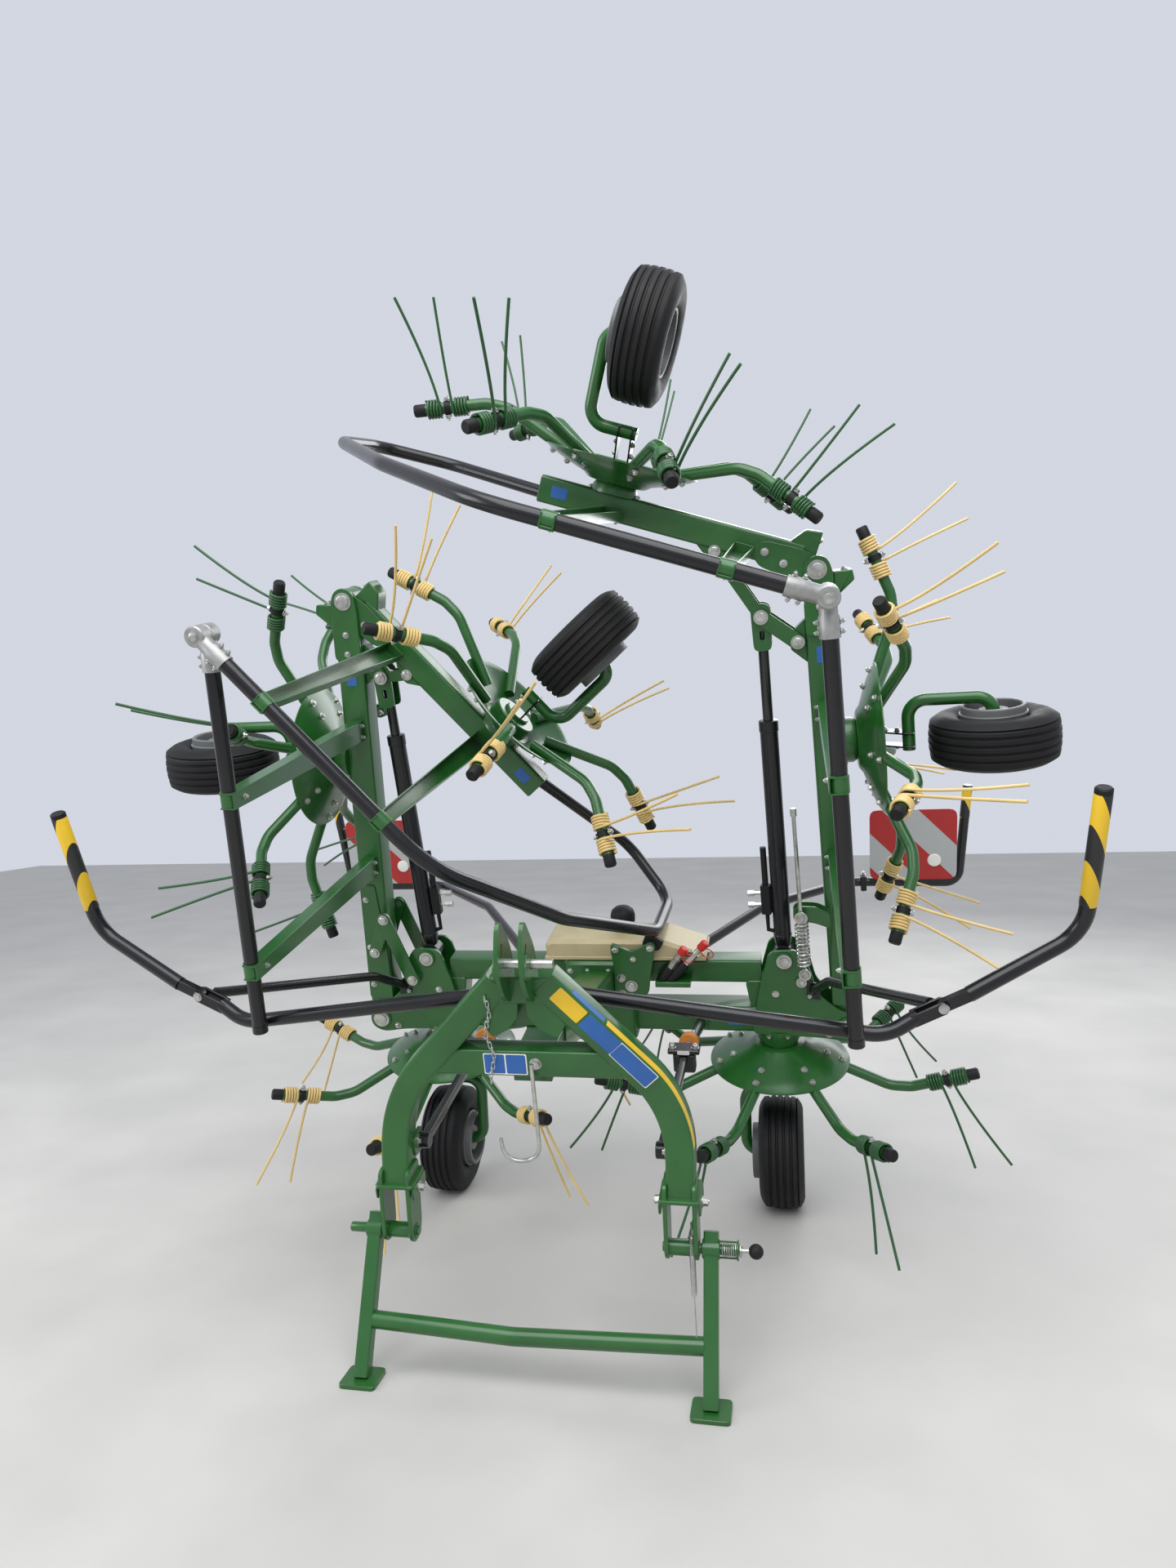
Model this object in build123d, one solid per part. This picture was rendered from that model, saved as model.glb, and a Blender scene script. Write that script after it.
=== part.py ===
from build123d import *
import os
from math import atan2, cos, degrees, hypot, radians, sin, tan

os.makedirs("parts", exist_ok=True)

# A six-rotor mounted hay tedder, folded up for transport and parked on its stand and inner wheels.
# Every piece is drawn in the working position, arms spread and level, on the right-hand side (+X).
# +Y points away from the tractor and z = 0 is the height of the fold pins. The pieces are then
# folded up, mirrored to the left where needed, leaned forward and set down on the floor.

# Driving dimensions in mm and degrees
lean = 14.0                # forward lean of the parked machine
pivot_x = 905.0            # fold pin of the middle arm
middle_length = 1650.0     # from the fold pin to the outer fold pin
outer_length = 965.0       # from the outer fold pin to the end of the outer beam
middle_fold = 92.6         # how far the middle arms are folded up
outer_fold = {"left": 137.0, "right": 68.5}

rotor_pitch = 1310.0       # from one rotor axle to the next
rotor_y = 0.0
rotor_arm_count = 7
rotor_phase = -8.0         # turn of the rotors from the position where arms point along the beam
axle_radius = 50.0
running_gap = 0.3
housing_radius = 78.0
dish_top = 95.0            # below the fold pins
dish_radius = 260.0
dish_drop = 70.0
dish_wall = 8.0
arm_radius = 19.0
arm_sides = 5
dish_sides = 14
axle_sides = 12
coil_radius = 32.0
coil_end = 26.0            # from the tine to the end of its coil
tine_radius = 5.0
tine_drop = 296.0
# The double coil of an arm: how far out each tine leaves it and how far out that tine leans
coil_table = (dict(out=560.0, lean_out=142.0), dict(out=645.0, lean_out=178.0))
# Middle line of a tine arm: distance out from the axle and height over the dish rim
arm_line = ((150, 18), (405, -76), (480, -72), (700, 7))

tyre_radius = 203.0
tyre_width = 165.0
rim_radius = 104.0
wheel_y = -108.0
wheel_drop = {"inner": 505.0, "mid": 522.0, "outer": 545.0}  # from the fold pins to the wheel axles
hub_radius = 72.0
wheel_sides = 20
rim_sides = 12
axle_bore = 17.0
leg_radius = 21.0
leg_offset = 132.0         # from the wheel's middle to the leg tube
hub_face = 94.0            # from the wheel's middle to the end of its hub

beam_half_depth = 55.0
low_beam = (-36.0, 64.0)   # bottom and top of the centre beam
high_beam = (160.0, 248.0)
plate = 14.0
pin_radius = 22.0
guard_y = -985.0
guard_radius = 22.0
elbow_radius = 30.0
elbow_offset = 25.0        # the two guard tubes lie side by side at their elbow
guard_joint = (1120.0, -879.0, 514.0)  # where the front guard's tips swing
guard_joint_gap = 75.0     # from that joint to the end of the tube on each side
tip_swing = 140.0          # how far the tips swing down as the arms are spread
cylinder_pin = (684.0, 262.0)
# Rod eyes of the folding cylinders: along the middle arm from its fold pin, and above it
rod_eye = {"left": (middle_length - 279.0, 113.0), "right": (middle_length - 137.0, 193.0)}
rod_eye_spread = (middle_length - 103.0, 133.0)  # the same eye when the arms are spread
barrel_radius = 34.0
rod_radius = 18.0

hitch_pin_radius = 14.0
hitch_pin_end = 560.0      # from the middle of the machine to the free end of a lower pin
top_pin_radius = 12.7
top_pin_end = 105.0
clip_groove = (4.0, 1.5)   # width and depth of the groove that sets off a pin's free end

# Rotors: which arm carries them, along that arm, side of the wheel that its leg is on, turn of arms
rotor_table = {
    "inner": dict(level=0, x=rotor_pitch / 2, leg_side=-1, turn=1),
    "mid": dict(level=1, x=rotor_pitch * 1.5, leg_side=1, turn=-1),
    "outer": dict(level=2, x=rotor_pitch * 2.5, leg_side=1, turn=1),
}
sides = ("left", "right")
hinge_x = pivot_x + middle_length


def folded(shape, side, level):
    """Folds a right-hand shape up with its arm and mirrors it to its side."""
    if level == 2:
        shape = shape.rotate(Axis((hinge_x, 0, 0), (0, 1, 0)), -outer_fold[side])
    if level:
        shape = shape.rotate(Axis((pivot_x, 0, 0), (0, 1, 0)), -middle_fold)
    if side == "left":
        shape = mirror(shape, about=Plane.YZ)
    return shape


def fold_point(point, side, level):
    """The same fold for one point."""
    x, y, z = point
    for centre, turn in ((hinge_x, outer_fold[side]), (pivot_x, middle_fold))[2 - level:]:
        c, s = cos(radians(turn)), sin(radians(turn))
        x, z = centre + c * (x - centre) - s * z, s * (x - centre) + c * z
    return (-x if side == "left" else x, y, z)


# The lean turns the machine about X, then the inner wheels are set down on the floor.
set_down = tyre_radius - wheel_y * sin(radians(lean)) + wheel_drop["inner"] * cos(radians(lean))
leaned = Pos(0, 0, set_down) * Rot(lean, 0, 0)


def lean_point(point):
    x, y, z = point
    c, s = cos(radians(lean)), sin(radians(lean))
    return (x, c * y - s * z, s * y + c * z + set_down)


def unlean_point(point):
    x, y, z = point
    z = z - set_down
    c, s = cos(radians(lean)), sin(radians(lean))
    return (x, c * y + s * z, -s * y + c * z)


nodes = {}


def keep(name, shape):
    """Stands a piece up with the machine and notes it under its name."""
    nodes[name] = leaned * Compound(shape.solids())


def rounded(points, bends, steps=3):
    """The points of a line, each corner turned into a few short runs of an arc."""
    points = [Vector(*p) for p in points]
    places = [points[0]]
    for before, corner, after, bend in zip(points, points[1:], points[2:], bends):
        back = (before - corner).normalized()
        ahead = (after - corner).normalized()
        half = radians(back.get_angle(ahead)) / 2
        centre = corner + (back + ahead).normalized() * (bend / sin(half))
        start = corner + back * (bend / tan(half)) - centre
        end = corner + ahead * (bend / tan(half)) - centre
        swept = 2 * (radians(90) - half)
        for k in range(steps + 1):
            done = swept * k / steps
            places.append(centre + start * (sin(swept - done) / sin(swept)) + end * (sin(done) / sin(swept)))
    return places + [points[-1]]


def bar(points, radius, sides, bends=None, steps=3):
    """A many-sided bar along straight runs with mitred corners, rounded off where bends are given."""
    path = Polyline(*(rounded(points, bends, steps) if bends else points))
    section = Plane(origin=path @ 0, z_dir=path % 0) * RegularPolygon(radius, sides)
    return sweep(section, path=path, transition=Transition.RIGHT)


def tube(points, radius, bends, steps=2):
    return bar(points, radius, 8, bends, steps)


def rod(start, end, radius):
    """A round bar, for pins and the things that turn on them."""
    path = Line(start, end)
    return sweep(Plane(origin=path @ 0, z_dir=path % 0) * Circle(radius), path=path)


def prism(start, end, radius, sides):
    """A straight many-sided bar."""
    axis = Vector(*end) - Vector(*start)
    section = Plane(origin=start, z_dir=axis) * RegularPolygon(radius, sides)
    return extrude(section, axis.length)


def turned(rings, sides):
    """A many-sided turned shape with flat faces, from its rings: radius and height of each."""
    angles = [radians(k * 360 / sides) for k in range(sides)]
    rounds = [[(r * cos(a), r * sin(a), z) for a in angles] for r, z in rings]
    faces = [Face(Wire.make_polygon(rounds[0])), Face(Wire.make_polygon(rounds[-1]))]
    for low, high in zip(rounds, rounds[1:]):
        for k in range(sides):
            after = (k + 1) % sides
            faces.append(Face(Wire.make_polygon([low[k], low[after], high[after], high[k]])))
    return Solid(Shell(faces))


def box(x, y, z):
    """A block from its low and high edges."""
    size = [b - a for a, b in (x, y, z)]
    middle = [(a + b) / 2 for a, b in (x, y, z)]
    return Pos(*middle) * Box(*size)


def side_plate(points, y_low, y_high):
    """A plate whose outline lies in X and Z."""
    outline = make_face(Polyline(*points, close=True))
    return Pos(0, y_high, 0) * extrude(Plane.XZ * outline, y_high - y_low)


def side_profile(points, x_low, x_high):
    """A plate whose outline lies in Y and Z."""
    outline = make_face(Polyline(*[(x_low, y, z) for y, z in points], close=True))
    return extrude(outline, x_high - x_low, dir=(1, 0, 0))


def slab(points, z_low, z_high):
    """A plate whose outline lies in X and Y."""
    outline = make_face(Polyline(*[(x, y, z_low) for x, y in points], close=True))
    return extrude(outline, z_high - z_low, dir=(0, 0, 1))


def pin_y(x, z, y_low, y_high, radius):
    return rod((x, y_low, z), (x, y_high, z), radius)


def arm_height(out):
    """Height of the outer run of a tine arm over the dish rim."""
    (r0, z0), (r1, z1) = arm_line[-2:]
    return z0 + (out - r0) * (z1 - z0) / (r1 - r0)


rim_height = -dish_top - dish_drop


def rotor_hub(x, phase):
    """Dish with its bolted tine arms, on the axle at x."""
    top = -dish_top
    bottom = rim_height - dish_wall
    rings = [(dish_radius, bottom), (dish_radius, rim_height), (118, top - 15), (96, top)]
    shape = turned(rings, dish_sides)
    shape -= turned([(dish_radius - 12, bottom - 1), (112, top - 15 - dish_wall)], dish_sides)
    shape += turned([(84, top - 60), (84, top - 10)], dish_sides)
    shape -= rod((0, 0, top - 61), (0, 0, top + 1), axle_radius + running_gap)
    arm = bar([(r, 0, rim_height + z) for r, z in arm_line], arm_radius, arm_sides)
    for k in range(rotor_arm_count):
        shape += Rot(0, 0, phase + k * 360 / rotor_arm_count) * arm
    return Pos(x, rotor_y, 0) * shape


def arm_end(out):
    """The middle of the arm's outer run at this distance out."""
    return Vector(out, 0, rim_height + arm_height(out))


def rotor_tines(x, turn, phase):
    """Double coils wound on the arm ends, each running out into two long tines."""
    ends = (arm_end(coil_table[0]["out"] - coil_end), arm_end(coil_table[1]["out"] + coil_end))
    piece = prism(*ends, coil_radius, arm_sides)
    bore = prism(*ends, arm_radius + running_gap, arm_sides)
    side = -turn * (coil_radius * cos(radians(180 / arm_sides)) - tine_radius)
    for coil in coil_table:
        start = arm_end(coil["out"]) + Vector(0, side, 0)
        piece += prism(start, start + Vector(coil["lean_out"], -turn * 40, -tine_drop), tine_radius, 3)
    piece -= bore
    around = [Rot(0, 0, phase + k * 360 / rotor_arm_count) * piece for k in range(rotor_arm_count)]
    return Pos(x, rotor_y, 0) * Compound(children=around)


def wheel_disc(rings, sides):
    """A many-sided turned piece of a wheel: radius of each ring and its place along the wheel's axle."""
    return Rot(0, 90, 0) * turned(rings, sides)


def tyre():
    half = tyre_width / 2
    shoulder = 26
    side_radius = tyre_radius - 34
    rings = [(side_radius, -half), (tyre_radius, -half + shoulder)]
    rings += [(tyre_radius, half - shoulder), (side_radius, half)]
    return wheel_disc(rings, wheel_sides) - wheel_disc([(rim_radius, -half - 1), (rim_radius, half + 1)], rim_sides)


def rim(leg_side):
    """Rim barrel with a web and a long hub towards its leg."""
    half = tyre_width / 2 - 12
    face = leg_side * hub_face
    outside = rim_radius - running_gap
    shape = wheel_disc([(outside, -half), (outside, half)], rim_sides)
    shape -= wheel_disc([(rim_radius - 32, 12), (rim_radius - 12, half + 1)], rim_sides)
    shape -= wheel_disc([(rim_radius - 12, -half - 1), (rim_radius - 32, -12)], rim_sides)
    shape += wheel_disc([(hub_radius, min(0, face)), (hub_radius, max(0, face))], rim_sides)
    return shape - prism((-200, 0, 0), (200, 0, 0), axle_bore, 8)


def wheel_leg(x, leg_side, axle_drop):
    """Perforated bracket under the rotor axle, then a tube bent round the tyre to the hub."""
    foot = -dish_top - 72
    drop = foot - 95
    rings = [(axle_radius, foot), (axle_radius, -dish_top + running_gap)]
    shape = Pos(x, rotor_y, 0) * turned(rings, axle_sides)
    for low, high in ((x - 26, x - 16), (x + 16, x + 26)):
        outline = [(26, foot), (-26, foot), (-84, drop - 10), (-40, drop - 18)]
        shape += side_profile(outline, low, high)
    out = x + leg_side * leg_offset
    run = [(x - leg_side * 36, -60, drop), (out, -60, drop), (out, wheel_y, -axle_drop)]
    shape += bar(run, leg_radius, 6, [60], 2)
    ends = [x + leg_side * d for d in (-30, hub_face + running_gap, leg_offset)]
    places = [(end, wheel_y, -axle_drop) for end in ends]
    shape += rod(places[0], places[1], axle_bore * cos(radians(180 / 8)) - running_gap)
    return shape + prism(places[1], places[2], 32, 8)


# Wheels, rotors and wheel legs
for place, row in rotor_table.items():
    for side in sides:
        name = f"{place}_{side}"
        level, x, leg_side = row["level"], row["x"], row["leg_side"]
        turn = row["turn"]
        phase = turn * rotor_phase + (180 / rotor_arm_count if side == "left" else 0)
        keep(f"rotor_{name}", folded(rotor_hub(x, phase), side, level))
        keep(f"tines_{name}", folded(rotor_tines(x, turn, phase), side, level))
        wheel_place = Pos(x, wheel_y, -wheel_drop[place])
        keep(f"tyre_{name}", folded(wheel_place * tyre(), side, level))
        keep(f"rim_{name}", folded(wheel_place * rim(leg_side), side, level))
        keep(f"wheel_leg_{name}", folded(wheel_leg(x, leg_side, wheel_drop[place]), side, level))


def gear_housing(x, bottom):
    """Round gear housing between a beam and its rotor."""
    rings = [(housing_radius, -dish_top + running_gap), (housing_radius, bottom + 2)]
    return Pos(x, rotor_y, 0) * turned(rings, 12)


# Centre frame: low gear beam, high beam, hinge plates, gearbox and the drawbar to the headstock
hinge_plate_y = 70.0
low, high = low_beam
damper_seat = 84.0
coupler_seat = 122.0
frame = box((-820, 820), (-beam_half_depth, beam_half_depth), (low, high))
frame += box((-560, 560), (-45, 45), high_beam)
frame += box((-130, 130), (-110, 110), (low - 20, high_beam[1] + 20))
for s in (-1, 1):
    outline = [(560, low), (600, 170), (640, 300), (725, 300), (775, 235), (800, 120)]
    outline += [(905, 60), (960, 20), (960, -40), (905, -60), (820, low)]
    for y in (-hinge_plate_y, hinge_plate_y - plate):
        frame += side_plate([(s * px, pz) for px, pz in outline], y, y + plate)
    pin_reach = hinge_plate_y - plate / 2
    frame += pin_y(s * pivot_x, 0, -pin_reach, pin_reach, pin_radius)
    frame += pin_y(s * cylinder_pin[0], cylinder_pin[1], -pin_reach, pin_reach, 18)
    housing = gear_housing(rotor_table["inner"]["x"], low)
    frame += housing if s == 1 else mirror(housing, about=Plane.YZ)
drawbar = side_profile([(-100, 130), (-100, 235), (-900, 445), (-900, 345)], -60, 60)
frame += drawbar
for s in (-1, 1):
    frame += box((s * 372 - 25, s * 372 + 25), (-damper_seat, -50), (-14, 42))
frame += box((215, 345), (-coupler_seat, -40), (176, 196))
rest_outline = [(60, 128), (130, 110), (190, 150), (205, 225), (196, 300), (135, 286), (72, 300), (60, 240)]
frame += side_plate(rest_outline, -124, -109)
keep("centre_frame", frame)

# Headstock: two bent legs, cross beam, upper hitch plates and lower brackets, nearly upright
tube_half = 40.0
leg_foot = (406, -1152, 81)
leg_bend = (413, -1078, 306)
leg_top = (62, -1080, 680)
cross_z = 438
top_y = -1080
guard_bar_y = -925.0
top_z = 700


def square_tube(points, half, bends):
    path = Polyline(*rounded(points, bends, 2))
    section = Plane(origin=path @ 0, x_dir=(0, 1, 0), z_dir=path % 0) * Rectangle(2 * half, 2 * half)
    return sweep(section, path=path, transition=Transition.RIGHT)


headstock = None
for s in (-1, 1):
    leg = square_tube([(s * x, y, z) for x, y, z in (leg_foot, leg_bend, leg_top)], tube_half, [180])
    headstock = leg if headstock is None else headstock + leg
headstock += box((-300, 300), (top_y - 35, top_y + 35), (cross_z - 40, cross_z + 40))
headstock += box((-90, 90), (top_y - 38, top_y + 38), (top_z - 80, top_z))
headstock += box((-55, 55), (top_y, -900.3), (365, 435))
headstock += box((-32, 32), (top_y, guard_bar_y - guard_radius), (538, 640))
for s in (-1, 1):
    headstock += box((s * 369 - 5.7, s * 369 + 5.7), (-1118, -1052), (128, 184))
hitch_y, hitch_z = unlean_point((0, -1135, 369))[1:]
# Outlines in Y and Z from the pins: the leaf-shaped upper plates and the curved lower lugs
leaf = [(-10, 108), (-52, 62), (-66, 0), (-48, -60), (0, -120), (70, -120), (82, -40), (62, 30), (28, 80)]
leg_y, leg_z = leg_foot[1:]
lug_y, lug_top = leg_y - hitch_y, leg_z - hitch_z + 46
lug = [(-20, -28), (20, -28), (44, 0), (lug_y + 44, lug_top), (lug_y - 44, lug_top), (-38, 0)]
pin_place = (top_y - 55, top_z + 50)
for s in (-1, 1):
    headstock += side_profile([(pin_place[0] + y, pin_place[1] + z) for y, z in leaf], s * 33 - 6, s * 33 + 6)
    for x in (-46, 34):
        inner = s * leg_foot[0] + x
        headstock += side_profile([(hitch_y + y, hitch_z + z) for y, z in lug], inner, inner + 12)
    cap = (s * leg_foot[0] - 56, s * leg_foot[0] + 56)
    headstock += box(cap, (leg_y - 52, leg_y + 52), (leg_z - 2, leg_z + 10))

top_pin_neck = 40.0
low_pin_neck = 506.0


def hitch_pin(start, neck, end, place, radius):
    """A round pin along X with a clip groove between its seat and its free end."""
    width, depth = clip_groove
    places = [start, neck, neck + (width if end > start else -width), end]
    radii = (radius, radius - depth, radius)
    runs = zip(places, places[1:], radii)
    pieces = [rod((low_end, *place), (high_end, *place), r) for low_end, high_end, r in runs]
    return pieces[0] + pieces[1] + pieces[2]


top_pin = hitch_pin(-52, top_pin_neck, top_pin_end, pin_place, top_pin_radius)
hitch_pins = []
for s in (-1, 1):
    low_place = (hitch_y, hitch_z)
    hitch_pins.append(hitch_pin(s * 352, s * low_pin_neck, s * hitch_pin_end, low_place, hitch_pin_radius))
hole = 1 / cos(radians(180 / 8))
top_hole = (top_pin_radius + running_gap) * hole
headstock -= prism((-120, *pin_place), (120, *pin_place), top_hole, 8)
for s in (-1, 1):
    low_hole = (hitch_pin_radius + running_gap) * hole
    headstock -= prism((s * 340, hitch_y, hitch_z), (s * 530, hitch_y, hitch_z), low_hole, 8)
keep("headstock", headstock)
keep("hitch_pins", Compound(children=[top_pin, *hitch_pins]))

# Parking stand: two square legs on the lower hitch pins, a cross tube and foot plates
stand_half = 20.0
stand_x = 484.0
foot_y, foot_z = unlean_point((0, -1266, 0))[1:]
stand = None
upright = Rot(-lean, 0, 0)
for s in (-1, 1):
    head = (s * stand_x, hitch_y, hitch_z)
    foot = unlean_point((s * stand_x, -1266, 12))
    path = Line(head, foot)
    section = Plane(origin=path @ 0, x_dir=(1, 0, 0), z_dir=path % 0) * Rectangle(40, 40)
    leg = sweep(section, path=path)
    boss = prism((s * (stand_x - 20), hitch_y, hitch_z), (s * (stand_x + 20), hitch_y, hitch_z), 26, 10)
    pad = Pos(*unlean_point((s * stand_x, -1266, 6))) * upright * Box(105, 95, 12)
    bore_reach = (hitch_pin_radius + running_gap) / cos(radians(180 / 10))
    bore = prism((s * 300, hitch_y, hitch_z), (s * 600, hitch_y, hitch_z), bore_reach, 10)
    piece = leg + boss + pad - bore
    stand = piece if stand is None else stand + piece
cross = [unlean_point(p) for p in ((-stand_x + 15, -1214, 145), (-60, -1214, 128), (stand_x - 15, -1214, 145))]
stand += tube(cross, 24, [200], 1)
keep("stand", stand)

# Front guard: black tube sweeping out from the headstock top, with rear braces, and a pin at each end
# on which an upright tip swings down as the arms are spread
joint_x, joint_y, joint_z = guard_joint
out_x, out_z = cos(radians(27.6)), sin(radians(27.6))


def beside_joint(distance, half):
    """Outline of a lug round a guard joint and this far along the tube's slope, with its half width."""
    back = -half if distance > 0 else half
    corners = ((distance, half), (0, half), (back, half / 2), (back, -half / 2), (0, -half), (distance, -half))
    return [(joint_x + out_x * a - out_z * b, joint_z + out_z * a + out_x * b) for a, b in corners]


def guard_end(distance):
    return (joint_x + out_x * distance, joint_y, joint_z + out_z * distance)


fixed_side = tube([(90, guard_bar_y, 560), (967, -906, 434), guard_end(-guard_joint_gap)], guard_radius, [140])
for y in (joint_y - 21, joint_y + 13):
    fixed_side += side_plate(beside_joint(-guard_joint_gap - 15, 18), y, y + 8)
fixed_side += pin_y(joint_x, joint_z, joint_y - 15, joint_y + 15, 10)
brace = tube([(500, -20, 195), (640, -400, 290), (1092, -845, 502)], 17, [160])
fixed_side += brace - box((500 - 90, 500 + 90), (-45.3, 40), (100, 300))
tip = tube([guard_end(guard_joint_gap), (1486, -815, 705), (1501, -868, 1114)], guard_radius, [120])
tip += side_plate(beside_joint(guard_joint_gap + 18, 17), joint_y - 12, joint_y + 12)
tip_bore = (10 + running_gap) / cos(radians(180 / 8))
tip -= prism((joint_x, joint_y - 30, joint_z), (joint_x, joint_y + 30, joint_z), tip_bore, 8)
guard = prism((-94.7, guard_bar_y, 560), (94.7, guard_bar_y, 560), guard_radius, 8)
keep("front_guard", guard + fixed_side + mirror(fixed_side, about=Plane.YZ))
for side in sides:
    keep(f"front_guard_tip_{side}", folded(tip, side, 0))

# Swing-damping struts between headstock and frame
for side, s in (("left", -1), ("right", 1)):
    low_end = unlean_point((s * 349, -1077, 611))
    clamp = unlean_point((s * 359, -541, 722))
    high_end = (s * 372, -beam_half_depth, 8)
    seat = box((s * 372 - 60, s * 372 + 60), (-damper_seat - running_gap, 0), (-80, 90))
    keep(f"damper_{side}", prism(low_end, clamp, 14, 8) + prism(clamp, high_end, 20, 8) - seat)

# Middle and outer arms
arm_half = 48.0


def middle_arm():
    arm = box((pivot_x + 60, hinge_x - 110), (-arm_half, arm_half), (-50, 50))
    eye = prism((pivot_x, -arm_half, 0), (pivot_x, arm_half, 0), 52, 10)
    eye += box((pivot_x, pivot_x + 90), (-arm_half, arm_half), (-45, 45))
    arm += eye - pin_y(pivot_x, 0, -90, 90, pin_radius + running_gap)
    for y in (-arm_half - plate, arm_half):
        arm += side_plate(
            [(hinge_x - 200, -50), (hinge_x - 200, 50), (hinge_x - 20, 40), (hinge_x + 30, 25), (hinge_x + 30, -30)],
            y,
            y + plate,
        )
    arm += pin_y(hinge_x, 0, -arm_half - plate / 2, arm_half + plate / 2, pin_radius)
    return arm + gear_housing(rotor_table["mid"]["x"], -50)


def outer_arm():
    arm = box((hinge_x + 60, hinge_x + outer_length), (-42, 42), (-65, 25))
    eye = prism((hinge_x, -42, 0), (hinge_x, 42, 0), 44, 10)
    eye += box((hinge_x, hinge_x + 90), (-42, 42), (-40, 25))
    arm += eye - pin_y(hinge_x, 0, -90, 90, pin_radius + running_gap)
    return arm + gear_housing(rotor_table["outer"]["x"], -65)


def middle_guard():
    y = guard_y + elbow_offset
    shape = prism((pivot_x + 437, y, 0), (hinge_x, y, 0), guard_radius, 8)
    shape += prism((hinge_x, guard_y + running_gap, 0), (hinge_x, y + guard_radius, 0), elbow_radius, 8)
    for station in (pivot_x + 640, pivot_x + 1175):
        seat_y = -arm_half - running_gap
        outline = [(station - 24, y), (station + 24, y), (station + 38, seat_y), (station - 38, seat_y)]
        shape += slab(outline, -18, 28)
    return shape


def outer_guard():
    y = guard_y - elbow_offset
    beam_end = hinge_x + outer_length
    run = [(hinge_x, y, 0), (beam_end - 85, y, 0)]
    run += [(beam_end + out, y, 0) for out, y in ((336, -611), (675, -120), (690, 220), (435, 330), (-80, 70))]
    shape = tube(run, guard_radius, [300, 300, 140, 120, 150])
    shape += prism((hinge_x, y - guard_radius, 0), (hinge_x, guard_y - running_gap, 0), elbow_radius, 8)
    for station in (hinge_x + 250, hinge_x + 700):
        seat_y = -42 - running_gap
        outline = [(station - 20, y), (station + 20, y), (station + 34, seat_y), (station - 34, seat_y)]
        shape += slab(outline, -18, 18)
    return shape


for side in sides:
    keep(f"middle_arm_{side}", folded(middle_arm(), side, 1))
    keep(f"outer_arm_{side}", folded(outer_arm(), side, 2))
    keep(f"middle_guard_{side}", folded(middle_guard(), side, 1))
    keep(f"outer_guard_{side}", folded(outer_guard(), side, 2))

# Folding cylinders, drawn where they stand when folded
fold_angle = radians(middle_fold)


def cylinder_run(station, angle):
    """Length and slope of a cylinder whose rod eye is at this station of the middle arm."""
    eye_x = pivot_x + cos(angle) * station[0] - sin(angle) * station[1]
    eye_z = sin(angle) * station[0] + cos(angle) * station[1]
    run = (eye_x - cylinder_pin[0], eye_z - cylinder_pin[1])
    return run, hypot(*run), degrees(atan2(run[1], run[0]))


for side, s in (("left", -1), ("right", 1)):
    start = (cylinder_pin[0], 0, cylinder_pin[1])
    run, length, slope = cylinder_run(rod_eye[side], fold_angle)
    unit = (run[0] / length, run[1] / length)

    def along(distance):
        return (s * (start[0] + unit[0] * distance), 0, start[2] + unit[1] * distance)

    barrel = prism(along(30), along(880), barrel_radius, 12)
    barrel += prism((s * start[0], -30, start[2]), (s * start[0], 30, start[2]), 40, 12)
    pin_bore = (18 + running_gap) / cos(radians(180 / 12))
    barrel -= prism((s * start[0], -90, start[2]), (s * start[0], 90, start[2]), pin_bore, 12)
    barrel -= prism(along(60), along(900), rod_radius + running_gap, 8)
    keep(f"fold_barrel_{side}", barrel)
    eye = along(length)
    plunger = prism(along(70), along(length - 30), rod_radius, 8)
    plunger += prism((eye[0], -25, eye[2]), (eye[0], 25, eye[2]), 32, 12)
    keep(f"fold_rod_{side}", plunger)

# Cover over the middle of the frame, hydraulic couplers, hook and rear warning boards
cover_low, cover_high = high_beam[1] + 20.3, high_beam[1] + 96
hood = [(-200, cover_low), (-200, cover_high - 12), (-180, cover_high), (250, cover_high), (400, cover_low + 22)]
keep("gearbox_cover", side_plate(hood + [(400, cover_low)], -85, 100))
couplers = []
for x, z in ((240, 330), (310, 300)):
    start = (x, 30 - coupler_seat, 196.3)
    end = (x + 90, 10 - coupler_seat, z)
    couplers.append(prism(start, end, 16, 8) - box((x - 60, x + 60), (-200, 0), (100, 196.3)))
keep("hydraulic_couplers", Compound(children=couplers))
carrier_line = ((312, 30, 225), (598, 500, 242), (971, 950, 176), (1440, 950, 172), (1474, 950, 620))
for side, s in (("left", -1), ("right", 1)):
    carrier = tube([(s * x, y, z) for x, y, z in carrier_line], 20, [200, 120, 60])
    keep(f"board_carrier_{side}", carrier - box((s * 320 - 90, s * 320 + 90), (-20, 45.3), (150, 300)))
    board = box((1060, 1430), (926, 929.7), (195, 520)) if s > 0 else box((-1430, -1060), (926, 929.7), (195, 520))
    keep(f"warning_board_{side}", board)

# The origin is on the floor, under the middle of the machine's box.
boxes = [shape.bounding_box() for shape in nodes.values()]
shift_y = -(min(box.min.Y for box in boxes) + max(box.max.Y for box in boxes)) / 2
for name, shape in nodes.items():
    nodes[name] = Pos(0, shift_y, 0) * shape
    export_step(nodes[name], f"parts/{name}.step")
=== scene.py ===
import math
import bmesh
import bpy
import numpy as np
from mathutils import Matrix, Vector


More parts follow.
